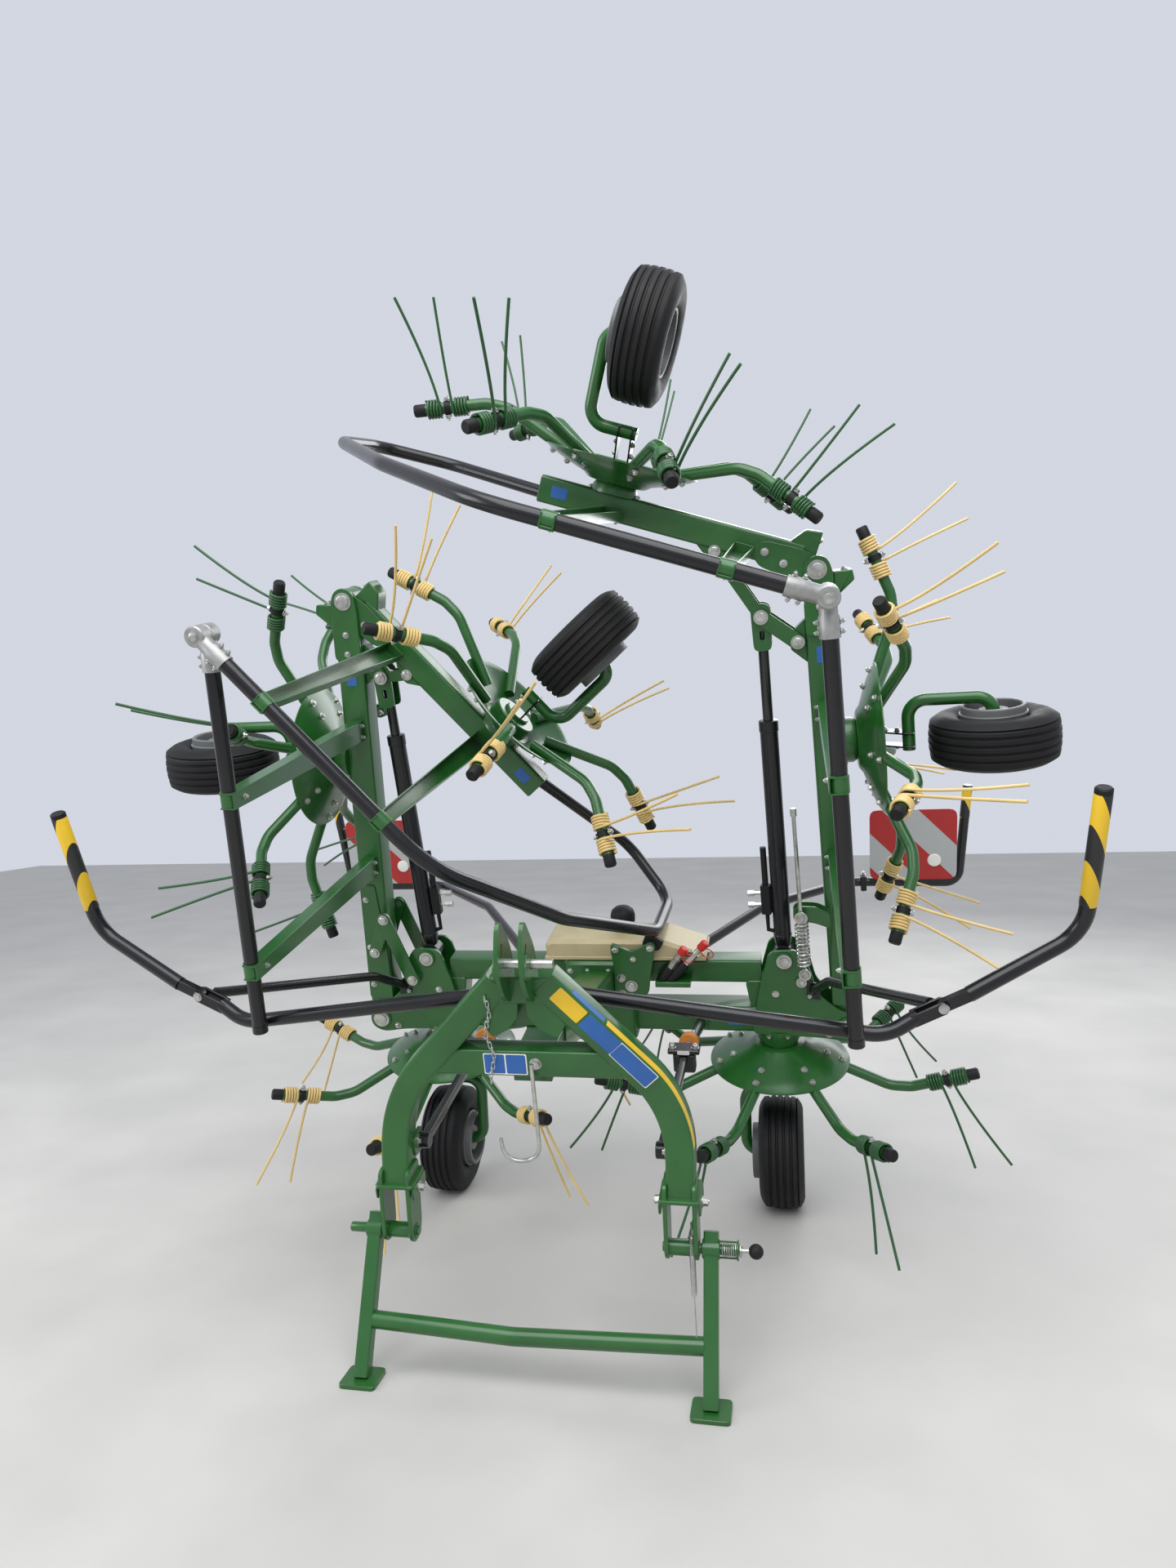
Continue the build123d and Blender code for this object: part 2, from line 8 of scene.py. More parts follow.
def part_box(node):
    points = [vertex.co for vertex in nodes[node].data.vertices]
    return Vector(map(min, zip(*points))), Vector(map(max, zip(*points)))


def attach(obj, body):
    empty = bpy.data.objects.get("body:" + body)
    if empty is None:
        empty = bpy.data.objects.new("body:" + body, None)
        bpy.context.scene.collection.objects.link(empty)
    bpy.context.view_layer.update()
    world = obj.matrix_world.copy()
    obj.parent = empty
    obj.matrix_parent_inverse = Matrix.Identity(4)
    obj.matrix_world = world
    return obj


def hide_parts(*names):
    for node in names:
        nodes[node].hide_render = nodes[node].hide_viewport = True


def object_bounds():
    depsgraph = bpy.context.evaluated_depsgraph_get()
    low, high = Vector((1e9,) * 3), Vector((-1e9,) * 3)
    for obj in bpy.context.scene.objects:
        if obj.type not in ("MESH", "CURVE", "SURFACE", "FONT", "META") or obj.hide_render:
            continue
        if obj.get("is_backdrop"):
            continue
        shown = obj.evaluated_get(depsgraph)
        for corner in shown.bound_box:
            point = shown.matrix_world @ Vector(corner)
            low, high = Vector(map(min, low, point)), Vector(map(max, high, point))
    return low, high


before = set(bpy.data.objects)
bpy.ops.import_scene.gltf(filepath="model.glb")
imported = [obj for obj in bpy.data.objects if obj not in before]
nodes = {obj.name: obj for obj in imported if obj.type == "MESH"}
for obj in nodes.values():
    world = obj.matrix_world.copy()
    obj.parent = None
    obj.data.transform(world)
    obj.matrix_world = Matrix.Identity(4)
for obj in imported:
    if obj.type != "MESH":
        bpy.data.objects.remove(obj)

low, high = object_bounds()
print("loaded", len(nodes), "nodes")

# Camera, at the photograph's place: metres and degrees, y counted from the inner wheels
cameraSettings = {"place": (0.74, -3.8875, 1.698), "yaw": 11.5, "pitch": -1.19, "roll": -1.83, "lens": 23.33}
wheelLow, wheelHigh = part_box("tyre_inner_right")
wheelY = (wheelLow.y + wheelHigh.y) / 2
yaw, pitch, roll = (math.radians(cameraSettings[k]) for k in ("yaw", "pitch", "roll"))
ahead = Vector((-math.sin(yaw) * math.cos(pitch), math.cos(yaw) * math.cos(pitch), math.sin(pitch)))
level = Vector((math.cos(yaw), math.sin(yaw), 0))
above = level.cross(ahead)
cameraRight = level * math.cos(roll) + above * math.sin(roll)
cameraUp = above * math.cos(roll) - level * math.sin(roll)
cameraData = bpy.data.cameras.new("camera")
cameraData.sensor_fit = "VERTICAL"
cameraData.sensor_height = 36.0
cameraData.sensor_width = 27.0
cameraData.lens = cameraSettings["lens"]
camera = bpy.data.objects.new("camera", cameraData)
place = Vector(cameraSettings["place"]) + Vector((0, wheelY, 0))
turn = Matrix((cameraRight, cameraUp, -ahead)).transposed()
camera.matrix_world = Matrix.Translation(place) @ turn.to_4x4()
bpy.context.collection.objects.link(camera)
bpy.context.scene.camera = camera
bpy.context.scene.view_settings.view_transform = "Standard"

# Materials
materials = {}


def shader(tree, kind, values, links, operation=None):
    # a new node with its plain inputs and its linked inputs; gives its outputs
    node = tree.nodes.new("ShaderNode" + kind)
    if operation:
        node.operation = operation
    if kind == "Mix":
        node.data_type = "RGBA"
    for key, value in values.items():
        node.inputs[key].default_value = value
    for key, socket in links.items():
        tree.links.new(socket, node.inputs[key])
    return node.outputs


def newMaterial(name):
    material = bpy.data.materials.new(name)
    material.use_nodes = True
    materials[name] = material
    tree = material.node_tree
    return tree, tree.nodes["Principled BSDF"], shader(tree, "TexCoord", {}, {})["Object"]


def paintSurface(tree, surface, colour, noise, smoothest, roughest):
    # the colour, and a roughness between two limits by a noise
    spread = shader(tree, "MapRange", {"To Min": smoothest, "To Max": min(1.0, roughest)}, {"Value": noise})
    tree.links.new(colour, surface.inputs["Base Color"])
    tree.links.new(spread["Result"], surface.inputs["Roughness"])


def finish(name, colour, rough, metal=0.0, coat=0.0, mottle=0.12, scale=9.0, bump=0.0, dirt=0.0, gloss=0.5):
    # colour and roughness vary with a noise of the place; dirt lightens the lower, rougher patches
    tree, surface, place = newMaterial(name)
    constants = {"Metallic": metal, "Coat Weight": coat, "Specular IOR Level": gloss, "Coat Roughness": 0.15}
    for key, value in constants.items():
        surface.inputs[key].default_value = value
    noise = shader(tree, "TexNoise", {"Scale": scale, "Detail": 6.0}, {"Vector": place})["Fac"]
    span = {"From Min": 0.3, "From Max": 0.7, "To Min": 1.0 - mottle, "To Max": 1.0 + mottle}
    tone = shader(tree, "MapRange", span, {"Value": noise})["Result"]
    paint = shader(tree, "VectorMath", {0: colour}, {"Scale": tone}, "SCALE")["Vector"]
    if dirt:
        patches = {"Scale": 2.3, "Detail": 8.0, "Roughness": 0.7}
        dust = shader(tree, "TexNoise", patches, {"Vector": place})["Fac"]
        span = {"From Min": 0.45, "From Max": 0.75, "To Max": dirt}
        amount = shader(tree, "MapRange", span, {"Value": dust})["Result"]
        paint = shader(tree, "Mix", {7: (0.32, 0.28, 0.2, 1.0)}, {0: amount, 6: paint})[2]
    paintSurface(tree, surface, paint, noise, rough * 0.75, rough * 1.3)
    if bump:
        grain = shader(tree, "TexNoise", {"Scale": 160.0, "Detail": 3.0}, {"Vector": place})["Fac"]
        raised = shader(tree, "Bump", {"Strength": bump, "Distance": 0.001}, {"Height": grain})
        tree.links.new(raised["Normal"], surface.inputs["Normal"])
    return materials[name]


def striped(name, first, second, direction, width, shift=0.0):
    # two colours in bands: fract(place along direction / width of one pair of bands + shift)
    tree, surface, place = newMaterial(name)
    way = Vector(direction).normalized() / width
    along = shader(tree, "VectorMath", {1: way}, {0: place}, "DOT_PRODUCT")["Value"]
    start = shader(tree, "Math", {1: shift}, {0: along}, "ADD")["Value"]
    part = shader(tree, "Math", {}, {0: start}, "FRACT")["Value"]
    beyond = shader(tree, "Math", {1: 0.5}, {0: part}, "GREATER_THAN")["Value"]
    mixed = shader(tree, "Mix", {6: (*first, 1.0), 7: (*second, 1.0)}, {0: beyond})[2]
    noise = shader(tree, "TexNoise", {"Scale": 14.0}, {"Vector": place})["Fac"]
    paintSurface(tree, surface, mixed, noise, 0.28, 0.56)


finish("greenPaint", (0.012, 0.098, 0.014), 0.3, coat=0.3, dirt=0.035, bump=0.08)
finish("greenTines", (0.014, 0.085, 0.02), 0.35, coat=0.2)
finish("creamPaint", (0.72, 0.52, 0.2), 0.4, coat=0.2, dirt=0.08)
finish("creamPlastic", (0.5, 0.42, 0.24), 0.45, dirt=0.12)
finish("blackPaint", (0.006, 0.006, 0.008), 0.26, coat=0.25, dirt=0.015, gloss=0.35)
finish("blackSteel", (0.01, 0.01, 0.01), 0.2, coat=0.3)
finish("blackRubber", (0.008, 0.008, 0.008), 0.55, mottle=0.2, gloss=0.3)
finish("zincSteel", (0.5, 0.5, 0.47), 0.3, metal=0.9, mottle=0.25, scale=30.0)
finish("castAlloy", (0.36, 0.36, 0.35), 0.45, metal=0.7, mottle=0.15, scale=40.0, bump=0.3)
finish("greyPaint", (0.12, 0.125, 0.125), 0.45, dirt=0.1)
finish("tyreRubber", (0.006, 0.006, 0.007), 0.6, mottle=0.3, scale=20.0, dirt=0.02, bump=0.3, gloss=0.3)
finish("stripYellow", (0.75, 0.48, 0.02), 0.4)
finish("plateBlue", (0.02, 0.11, 0.36), 0.4)
finish("orangeRubber", (0.5, 0.17, 0.02), 0.5)
finish("redPlastic", (0.5, 0.015, 0.01), 0.4)
finish("whitePlate", (0.78, 0.77, 0.72), 0.5)
for name, slope in (("hazardRight", 0.9), ("hazardLeft", -0.9)):
    striped(name, (0.78, 0.5, 0.02), (0.015, 0.015, 0.015), (slope, 0.2, 0.5), 0.083)
striped("boardStripes", (0.42, 0.43, 0.43), (0.4, 0.016, 0.016), (1.0, 0, 1.0), 0.218, 0.7)
print("materials", len(materials))

# The machine's own frame: arms spread and level, before it is folded, leaned forward and set down
machine = {
    "lean": math.radians(14.0),
    "pivotX": 0.905,
    "hingeX": 2.555,
    "middleFold": math.radians(92.6),
    "outerFold": {"left": math.radians(137.0), "right": math.radians(68.5)},
    "wheelY": -0.108,
    "wheelDrop": {"inner": 0.505, "mid": 0.522, "outer": 0.545},
    "tyreRadius": 0.203,
}
pivotX, hingeX = machine["pivotX"], machine["hingeX"]
leanCos, leanSin = math.cos(machine["lean"]), math.sin(machine["lean"])
setDown = machine["tyreRadius"] - machine["wheelY"] * leanSin + machine["wheelDrop"]["inner"] * leanCos
shiftY = wheelY - (leanCos * machine["wheelY"] + leanSin * machine["wheelDrop"]["inner"])


def folded(points, side, stage):
    # stage 0 is the frame, 1 the middle arm, 2 the outer arm: turns about the fold pins, then the mirror
    spots = np.array(points, float).reshape(-1, 3)
    turns = ((hingeX, machine["outerFold"][side]), (pivotX, machine["middleFold"]))
    for centre, angle in turns[2 - stage:]:
        x, z = spots[:, 0] - centre, spots[:, 2].copy()
        spots[:, 0] = centre + math.cos(angle) * x - math.sin(angle) * z
        spots[:, 2] = math.sin(angle) * x + math.cos(angle) * z
    if side == "left":
        spots[:, 0] *= -1
    return spots


def leaned(points):
    # the lean about X, then the shift that sets the wheels on the floor
    spots = np.array(points, float).reshape(-1, 3)
    y = leanCos * spots[:, 1] - leanSin * spots[:, 2] + shiftY
    spots[:, 2] = leanSin * spots[:, 1] + leanCos * spots[:, 2] + setDown
    spots[:, 1] = y
    return spots


# Shapes as arrays: each function gives points and faces
def grid(points, closeU=False, closeV=False):
    # quads between neighbours of a u by v grid of points
    rows, columns = points.shape[:2]
    u = np.arange(rows if closeU else rows - 1)
    v = np.arange(columns if closeV else columns - 1)
    a, b = np.meshgrid(u, v, indexing="ij")
    c, d = (a + 1) % rows, (b + 1) % columns
    faces = np.stack([a * columns + b, c * columns + b, c * columns + d, a * columns + d], -1).reshape(-1, 4)
    return points.reshape(-1, 3), [tuple(int(i) for i in face) for face in faces]


def capped(points, shape):
    # closes the first and last ring of a tube with one many-sided face each
    rings, sides = points.shape[:2]
    ends = [tuple(range(sides))[::-1], tuple(range((rings - 1) * sides, rings * sides))]
    return shape[0], shape[1] + ends


def roundedPath(points, bends, steps=8):
    # each corner gives way to an arc of its bend radius, in equal turns
    points = [Vector(p) for p in points]
    places = [points[0]]
    for before, corner, after, bend in zip(points, points[1:], points[2:], bends):
        back, forth = (before - corner).normalized(), (after - corner).normalized()
        half = back.angle(forth) / 2
        centre = corner + (back + forth).normalized() * (bend / math.sin(half))
        first = corner + back * (bend / math.tan(half)) - centre
        last = corner + forth * (bend / math.tan(half)) - centre
        swept = math.pi - 2 * half
        for k in range(steps + 1):
            done = swept * k / steps
            places.append(centre + (first * math.sin(swept - done) + last * math.sin(done)) / math.sin(swept))
    return np.array(places + [points[-1]])


def courses(path):
    # the direction at each place of a path, halfway between the runs before and after it
    runs = np.diff(path, axis=0)
    runs /= np.linalg.norm(runs, axis=1)[:, None]
    along = np.vstack([runs[:1], runs[:-1] + runs[1:], runs[-1:]])
    return along / np.linalg.norm(along, axis=1)[:, None]


def tube(path, radius, sides=14, ends=True):
    # a circle of the given radius carried along the path: p(u, v) = path(u) + r (n cos v + b sin v)
    path = np.array(path, float)
    along = courses(path)
    start = np.cross(along[0], (0.31, 0.22, 0.93))
    normals = [start / np.linalg.norm(start)]
    for direction in along[1:]:
        carried = normals[-1] - direction * np.dot(normals[-1], direction)
        normals.append(carried / np.linalg.norm(carried))
    normals = np.array(normals)
    sideways = np.cross(along, normals)
    angle = np.linspace(0, 2 * np.pi, sides, endpoint=False)
    radius = np.broadcast_to(np.asarray(radius, float), (len(path),))[:, None, None]
    c, s = np.cos(angle)[None, :, None], np.sin(angle)[None, :, None]
    points = path[:, None] + radius * (normals[:, None] * c + sideways[:, None] * s)
    shape = grid(points, closeV=True)
    return capped(points, shape) if ends else shape


def turned(profile, sides=32, axis="z", centre=(0, 0, 0), closed=False):
    # a profile of (radius, height) turned about an axis: p(u, v) = (r cos v, r sin v, h)
    profile = np.array(profile, float)
    angle = np.linspace(0, 2 * np.pi, sides, endpoint=False)
    r, h = profile[:, 0][:, None], profile[:, 1][:, None] + 0 * angle
    x, y = r * np.cos(angle), r * np.sin(angle)
    points = {"z": (x, y, h), "x": (h, x, y), "y": (y, h, x)}[axis]
    points = np.stack(points, -1) + np.array(centre)
    shape = grid(points, closeU=closed, closeV=True)
    return shape if closed else capped(points, shape)


def block(x, y, z, edge=0.002):
    # a block from its low and high sides, its corners cut by edge
    lo, hi = np.array([x[0], y[0], z[0]]), np.array([x[1], y[1], z[1]])
    signs = np.array([(a, b, c) for a in (0, 1) for b in (0, 1) for c in (0, 1)], float)
    corners = lo + (hi - lo) * signs
    inward = (1 - 2 * signs) * edge
    points = np.concatenate([corners + inward * np.array(keep) for keep in ((0, 1, 1), (1, 0, 1), (1, 1, 0))])
    faces = []
    order = ((0, 1, 3, 2), (4, 6, 7, 5)), ((0, 4, 5, 1), (2, 3, 7, 6)), ((0, 2, 6, 4), (1, 5, 7, 3))
    for axis, pair in enumerate(order):
        faces += [tuple(axis * 8 + i for i in face) for face in pair]
    for a, b in ((0, 1), (1, 2), (0, 2)):
        along = 3 - a - b
        for k in range(8):
            partner = k | (4 >> along)
            if partner != k:
                faces.append((a * 8 + k, b * 8 + k, b * 8 + partner, a * 8 + partner))
    for k in range(8):
        faces.append((k, 8 + k, 16 + k))
    return points, faces


def merged(shapes):
    points, faces, count = [], [], 0
    for shapePoints, shapeFaces in shapes:
        points.append(np.asarray(shapePoints, float))
        faces += [tuple(i + count for i in face) for face in shapeFaces]
        count += len(shapePoints)
    return np.concatenate(points), faces


def spun(shape, angle):
    # turned about the vertical
    c, s = math.cos(angle), math.sin(angle)
    x, y, z = shape[0].T
    return np.stack([x * c - y * s, x * s + y * c, z], -1), shape[1]


def moved(shape, by):
    return shape[0] + np.array(by), shape[1]


def unit(way):
    way = np.array(way, float)
    return way / np.linalg.norm(way)


def addPiece(name, shapes, finishName, body="frame", side="right", stage=0, replaced=(), sharp=35.0):
    # joins the shapes, puts them in place with their arm and makes the object
    points, faces = merged(shapes)
    mesh = bpy.data.meshes.new(name)
    mesh.from_pydata(leaned(folded(points, side, stage)).tolist(), [], faces)
    mesh.validate()
    holder = bpy.data.objects.new(name, mesh)
    bpy.context.collection.objects.link(holder)
    bpy.context.view_layer.objects.active = holder
    turnOutwards(mesh)
    mesh.shade_smooth()
    mesh.set_sharp_from_angle(angle=math.radians(sharp))
    mesh.materials.append(materials[finishName])
    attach(holder, body)
    if replaced:
        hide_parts(*replaced)


def sidePiece(name, shapes, finishName, side, stage=0, body="", node=""):
    # a piece of one side: its name, its body and the node that it replaces end in that side
    carrier = f"{body}_{side}" if body else ("frame", f"middle_arm_{side}", f"outer_arm_{side}")[stage]
    replaced = (f"{node}_{side}",) if node else ()
    addPiece(f"{name}_{side}", shapes, finishName, carrier, side, stage, replaced)


def turnOutwards(mesh):
    work = bmesh.new()
    work.from_mesh(mesh)
    bmesh.ops.recalc_face_normals(work, faces=work.faces)
    work.to_mesh(mesh)
    work.free()


sides = ("left", "right")
forward, upward, downward = (0, -1, 0), (0, 0, 1), (0, 0, -1)
rotorTable = {
    "inner": {"stage": 0, "x": 0.655, "legSide": -1, "turn": 1},
    "mid": {"stage": 1, "x": 1.965, "legSide": 1, "turn": -1},
    "outer": {"stage": 2, "x": 3.275, "legSide": 1, "turn": 1},
}

# Tyres: ribbed tread, rounded shoulders and a bead at the rim
tyre = {
    "radius": 0.203, "halfWidth": 0.0825, "rimRadius": 0.1045, "halfTread": 0.062, "ribs": 5, "groove": 0.006,
    "sides": 96,
}


def tyreProfile():
    # half profile from bead to crown; the crown is cut by evenly spaced grooves
    half, radius, bead, tread = (tyre[key] for key in ("halfWidth", "radius", "rimRadius", "halfTread"))
    wall = [(bead, -half + 0.022), (bead + 0.004, -half + 0.012), (bead + 0.018, -half + 0.006)]
    wall += [(0.14, -half + 0.001), (0.16, -half + 0.0005), (0.176, -half + 0.006), (0.188, -half + 0.014)]
    crown = []
    for place in np.linspace(-tread, tread, 6 * tyre["ribs"] + 1):
        phase = (place + tread) / (2 * tread) * tyre["ribs"] % 1.0
        depth = tyre["groove"] if 0.82 < phase or phase < 0.12 else 0.0
        edge = abs(place) > tread - 0.0015
        crown.append((radius - 1.6 * place * place - (0.0 if edge else depth), place))
    return wall + crown + [(r, -h) for r, h in wall[::-1]]


def eachWheel():
    # name, side, fold stage, place of the wheel's middle and side of its leg
    for place, row in rotorTable.items():
        for side in sides:
            centre = (row["x"], machine["wheelY"], -machine["wheelDrop"][place])
            yield f"{place}_{side}", side, row["stage"], centre, row["legSide"]


for name, side, stage, centre, legSide in eachWheel():
    shape = turned(tyreProfile(), tyre["sides"], "x", centre, closed=True)
    addPiece(f"tyreRubber_{name}", [shape], "tyreRubber", f"wheel_{name}", side, stage, (f"tyre_{name}",), 50)
print("tyres")

# Rims: a pressed wheel with a deep cup of a hub, bolts round it
rim = {
    "outside": 0.1037, "half": 0.0705, "cup": 0.1005, "face": 0.107, "bore": 0.0215, "bolts": 5,
    "boltCircle": 0.068,
}


def rimProfile():
    # closed ring of (radius, place along the axle, positive towards the leg): rim, cup, web, hub, far side
    outside, half, cup, face, bore = (rim[key] for key in ("outside", "half", "cup", "face", "bore"))
    ring = [(outside, half), (outside + 0.003, half + 0.01), (outside + 0.001, half + 0.0125)]
    ring += [(cup, half + 0.013), (cup, face - 0.003), (cup - 0.003, face), (0.09, face)]
    ring += [(0.087, face - 0.004), (0.086, 0.046), (0.08, 0.04), (0.052, 0.04), (0.048, 0.046)]
    ring += [(0.048, 0.088), (0.045, 0.091), (0.028, 0.091), (bore, 0.088), (bore, -0.02), (0.05, -0.02)]
    ring += [(0.074, -0.012), (0.086, -0.02), (0.092, -half + 0.02), (0.096, -half + 0.002), (outside, -half)]
    return ring + [(outside, -half * 0.5), (outside, half * 0.5)]


def hexBolt(centre, axis, size=0.008, height=0.007):
    # a washer and a six-sided head on a surface, pointing along axis
    direction, centre = unit(axis), np.array(centre, float)
    washer = tube([centre, centre + direction * 0.002], size * 1.35, 14)
    flats = [centre + direction * up for up in (0.002, height + 0.001, height + 0.002)]
    head = tube(flats, [size, size, size * 0.85], 6)
    end = tube([centre + direction * height, centre + direction * (height + 0.005)], size * 0.52, 10)
    return [washer, head, end]


for name, side, stage, centre, legSide in eachWheel():
    profile = [(r, legSide * h) for r, h in rimProfile()]
    shape = turned(profile, 48, "x", centre, closed=True)
    x, y, z = centre
    bolts = []
    for k in range(rim["bolts"]):
        angle = 2 * math.pi * (k + 0.3) / rim["bolts"]
        across, up = rim["boltCircle"] * math.cos(angle), rim["boltCircle"] * math.sin(angle)
        spot = (x + legSide * 0.04, y + across, z + up)
        bolts += hexBolt(spot, (legSide, 0, 0), 0.008, 0.008)
    addPiece(f"rimSteel_{name}", [shape], "greyPaint", f"wheel_{name}", side, stage, (f"rim_{name}",))
    addPiece(f"rimBolts_{name}", bolts, "zincSteel", f"wheel_{name}", side, stage)
print("rims")

# Rotors: pressed dish, seven bent tubes bolted under it, and double coils with long tines
rotor = {
    "dishTop": -0.095, "dishRadius": 0.26, "dishDrop": 0.07, "arms": 7, "phase": -8.0,
    "bore": 0.0515, "armRadius": 0.019, "coilRadius": 0.0268, "wireRadius": 0.0048, "turns": 4.75,
    "coils": ((0.56, 0.142), (0.645, 0.178)), "tineDrop": 0.296, "sideLean": 0.04,
    "dishBolts": ((0.178, -0.0355), (0.232, -0.058)), "clamp": 0.6025, "armEnd": 0.7,
}
rimHeight = rotor["dishTop"] - rotor["dishDrop"]
armLine = [(0.15, 0.018), (0.405, -0.076), (0.48, -0.072), (0.7, 0.007)]
armSlope = np.array((0.22, 0, 0.079)) / math.hypot(0.22, 0.079)
creamRotors = ("outer_left", "inner_left", "mid_right")


def armEnd(out):
    # middle of the arm's outer run at this distance from the axle
    return np.array((out, 0, rimHeight - 0.072 + (out - 0.48) * 0.079 / 0.22))


def dishShape():
    top, bottom, r = rotor["dishTop"], rimHeight, rotor["dishRadius"]
    outer = [(rotor["bore"], top), (0.09, top), (0.1, top - 0.003), (0.118, top - 0.016)]
    outer += [(0.15, top - 0.026), (0.205, top - 0.046), (0.24, top - 0.062), (0.252, bottom)]
    outer += [(r, bottom - 0.003), (r, bottom - 0.007)]
    inner = [(0.25, bottom - 0.007), (0.238, top - 0.069), (0.15, top - 0.034), (0.116, top - 0.024)]
    inner += [(0.098, top - 0.012), (0.084, top - 0.014), (0.084, top - 0.055), (0.08, top - 0.059)]
    return turned(outer + inner + [(rotor["bore"], top - 0.059)], 72, closed=True)


def armShape():
    # a tube that is pressed flat where it is bolted under the dish
    path = roundedPath([(r, 0, rimHeight + z) for r, z in armLine], (0.12, 0.1), 10)
    path = np.vstack([path[:1], path[:1] * 0.72 + path[1:2] * 0.28, path[1:]])
    return tube(path, rotor["armRadius"], 16)


def coilShape(out, lean, turn):
    # helix p(t) = start + axis t + R (cos t, sin t), then a curve out to the tine's tip
    up = np.cross(armSlope, (0, 1, 0))
    radius, wire = rotor["coilRadius"], rotor["wireRadius"]
    length = rotor["turns"] * 2 * wire * 1.06
    angle = np.linspace(-2 * np.pi * rotor["turns"], 0, 92)
    away = np.sign(out - 0.6)
    run = -away * (angle / (2 * np.pi * rotor["turns"]) + 0.5) * length
    side = np.array((0, -turn, 0.0))
    spin = np.cos(angle)[:, None] * side + np.sin(-angle)[:, None] * up
    helix = armEnd(out) + run[:, None] * armSlope + radius * spin
    first = helix[-1]
    drop = first - up * 0.11 + armSlope * 0.01
    tip = armEnd(out) + np.array((lean, -turn * (0.0227 + rotor["sideLean"]), -rotor["tineDrop"]))
    t = np.linspace(0, 1, 15)[1:, None]
    tine = (1 - t) ** 2 * first + 2 * t * (1 - t) * drop + t ** 2 * tip
    return tube(np.vstack([helix, tine]), wire, 7)


def clampShapes():
    # the clamp and bolt between the two coils, and the plug in the arm's end
    middle = armEnd(rotor["clamp"])
    up = np.cross(armSlope, (0, 1, 0))
    band = tube([middle - armSlope * 0.01, middle + armSlope * 0.01], 0.0225, 20)
    bolt = tube([middle - up * 0.036, middle + up * 0.04], 0.005, 10)
    heads = hexBolt(middle + up * 0.024, up, 0.009, 0.008) + hexBolt(middle - up * 0.024, -up, 0.009, 0.008)
    end = armEnd(rotor["armEnd"])
    places = [end + armSlope * out for out in (-0.03, 0.004, 0.009)]
    return band, [bolt] + heads, tube(places, [0.0205, 0.0205, 0.017], 20)


for place, row in rotorTable.items():
    for side in sides:
        name = f"{place}_{side}"
        turn = row["turn"]
        phase = math.radians(turn * rotor["phase"] + (180 / rotor["arms"] if side == "left" else 0))
        arms, coils, bolts, plugs = [], [], [], []
        band, clamp, plug = clampShapes()
        for k in range(rotor["arms"]):
            angle = phase + 2 * math.pi * k / rotor["arms"]
            arms.append(spun(armShape(), angle))
            coils += [spun(coilShape(out, lean, turn), angle) for out, lean in rotor["coils"]]
            plugs += [spun(band, angle), spun(plug, angle)]
            bolts += [spun(shape, angle) for shape in clamp]
            for out, height in rotor["dishBolts"]:
                heads = hexBolt((out, 0, rotor["dishTop"] + height), (0.35, 0, 1), 0.0095, 0.008)
                bolts += [spun(shape, angle) for shape in heads]
        body = f"rotor_{name}"
        rotorPieces = (
            ("rotorDish", [dishShape()] + arms, "greenPaint", (body,), 35.0),
            ("coils", coils, "creamPaint" if name in creamRotors else "greenTines", (f"tines_{name}",), 60.0),
            ("rotorBolts", bolts, "zincSteel", (), 35.0), ("armPlugs", plugs, "blackRubber", (), 35.0),
        )
        for title, shapes, chosen, replaced, sharp in rotorPieces:
            inPlace = [moved(shape, (row["x"], 0, 0)) for shape in shapes]
            addPiece(f"{title}_{name}", inPlace, chosen, body, side, row["stage"], replaced, sharp)
print("rotors")


def pipe(points, bends, radius, sides=16):
    # a tube along straight runs with rounded corners
    return tube(roundedPath(points, bends), radius, sides)


def bar(axis, centre, places, radius, sides=24):
    # a round bar along an axis through centre, with a radius at each place
    way = np.array([axis == letter for letter in "xyz"], float)
    return tube([np.array(centre) + way * place for place in places], radius, sides)


def flatRing(a, b, level, axis):
    # an outline at one level of an axis, in the two other axes
    level = np.full(len(a), level)
    return np.stack({"x": (level, a, b), "y": (a, level, b), "z": (a, b, level)}[axis], -1)


def cutPlate(outline, low, high, axis="y", edge=0.0015):
    # a flat plate: its outline lies in the two other axes and its rims are cut by edge
    outline = np.array(outline, float)
    x, y = outline.T
    if np.sum(x * np.roll(y, -1) - np.roll(x, -1) * y) < 0:
        outline = outline[::-1]
    forth = np.roll(outline, -1, 0) - outline
    forth /= np.linalg.norm(forth, axis=1)[:, None]
    normal = np.stack([forth[:, 1], -forth[:, 0]], -1)
    before = np.roll(normal, 1, 0)
    mitre = (normal + before) / (1 + np.sum(normal * before, axis=1))[:, None]
    rings = []
    for inset, height in ((edge, low), (0, low + edge), (0, high - edge), (edge, high)):
        a, b = (outline - mitre * inset).T
        rings.append(flatRing(a, b, height, axis))
    points = np.array(rings)
    return capped(points, grid(points, closeV=True))


def pinHead(centre, axis, radius, height=0.006):
    # washer and rounded head on the end of a pin
    direction, centre = unit(axis), np.array(centre, float)
    heights = (0, 0.3, 0.31, 0.85, 1.0)
    radii = (1.45, 1.45, 1.0, 1.0, 0.85)
    return tube([centre + direction * height * h for h in heights], np.array(radii) * radius, 24)


def mirrored(shape):
    return shape[0] * np.array((-1, 1, 1)), shape[1]


def bothSides(shapes):
    return shapes + [mirrored(shape) for shape in shapes]


def platesAt(outline, lows, thick, axis="y", edge=0.0015):
    # the same plate at several places along its axis
    return [cutPlate(outline, low, low + thick, axis, edge) for low in lows]


def pinPair(x, half, z, radius, height):
    # the heads of a pin on both faces of what it holds
    return [pinHead((x, sign * half, z), (0, sign, 0), radius, height) for sign in (-1, 1)]


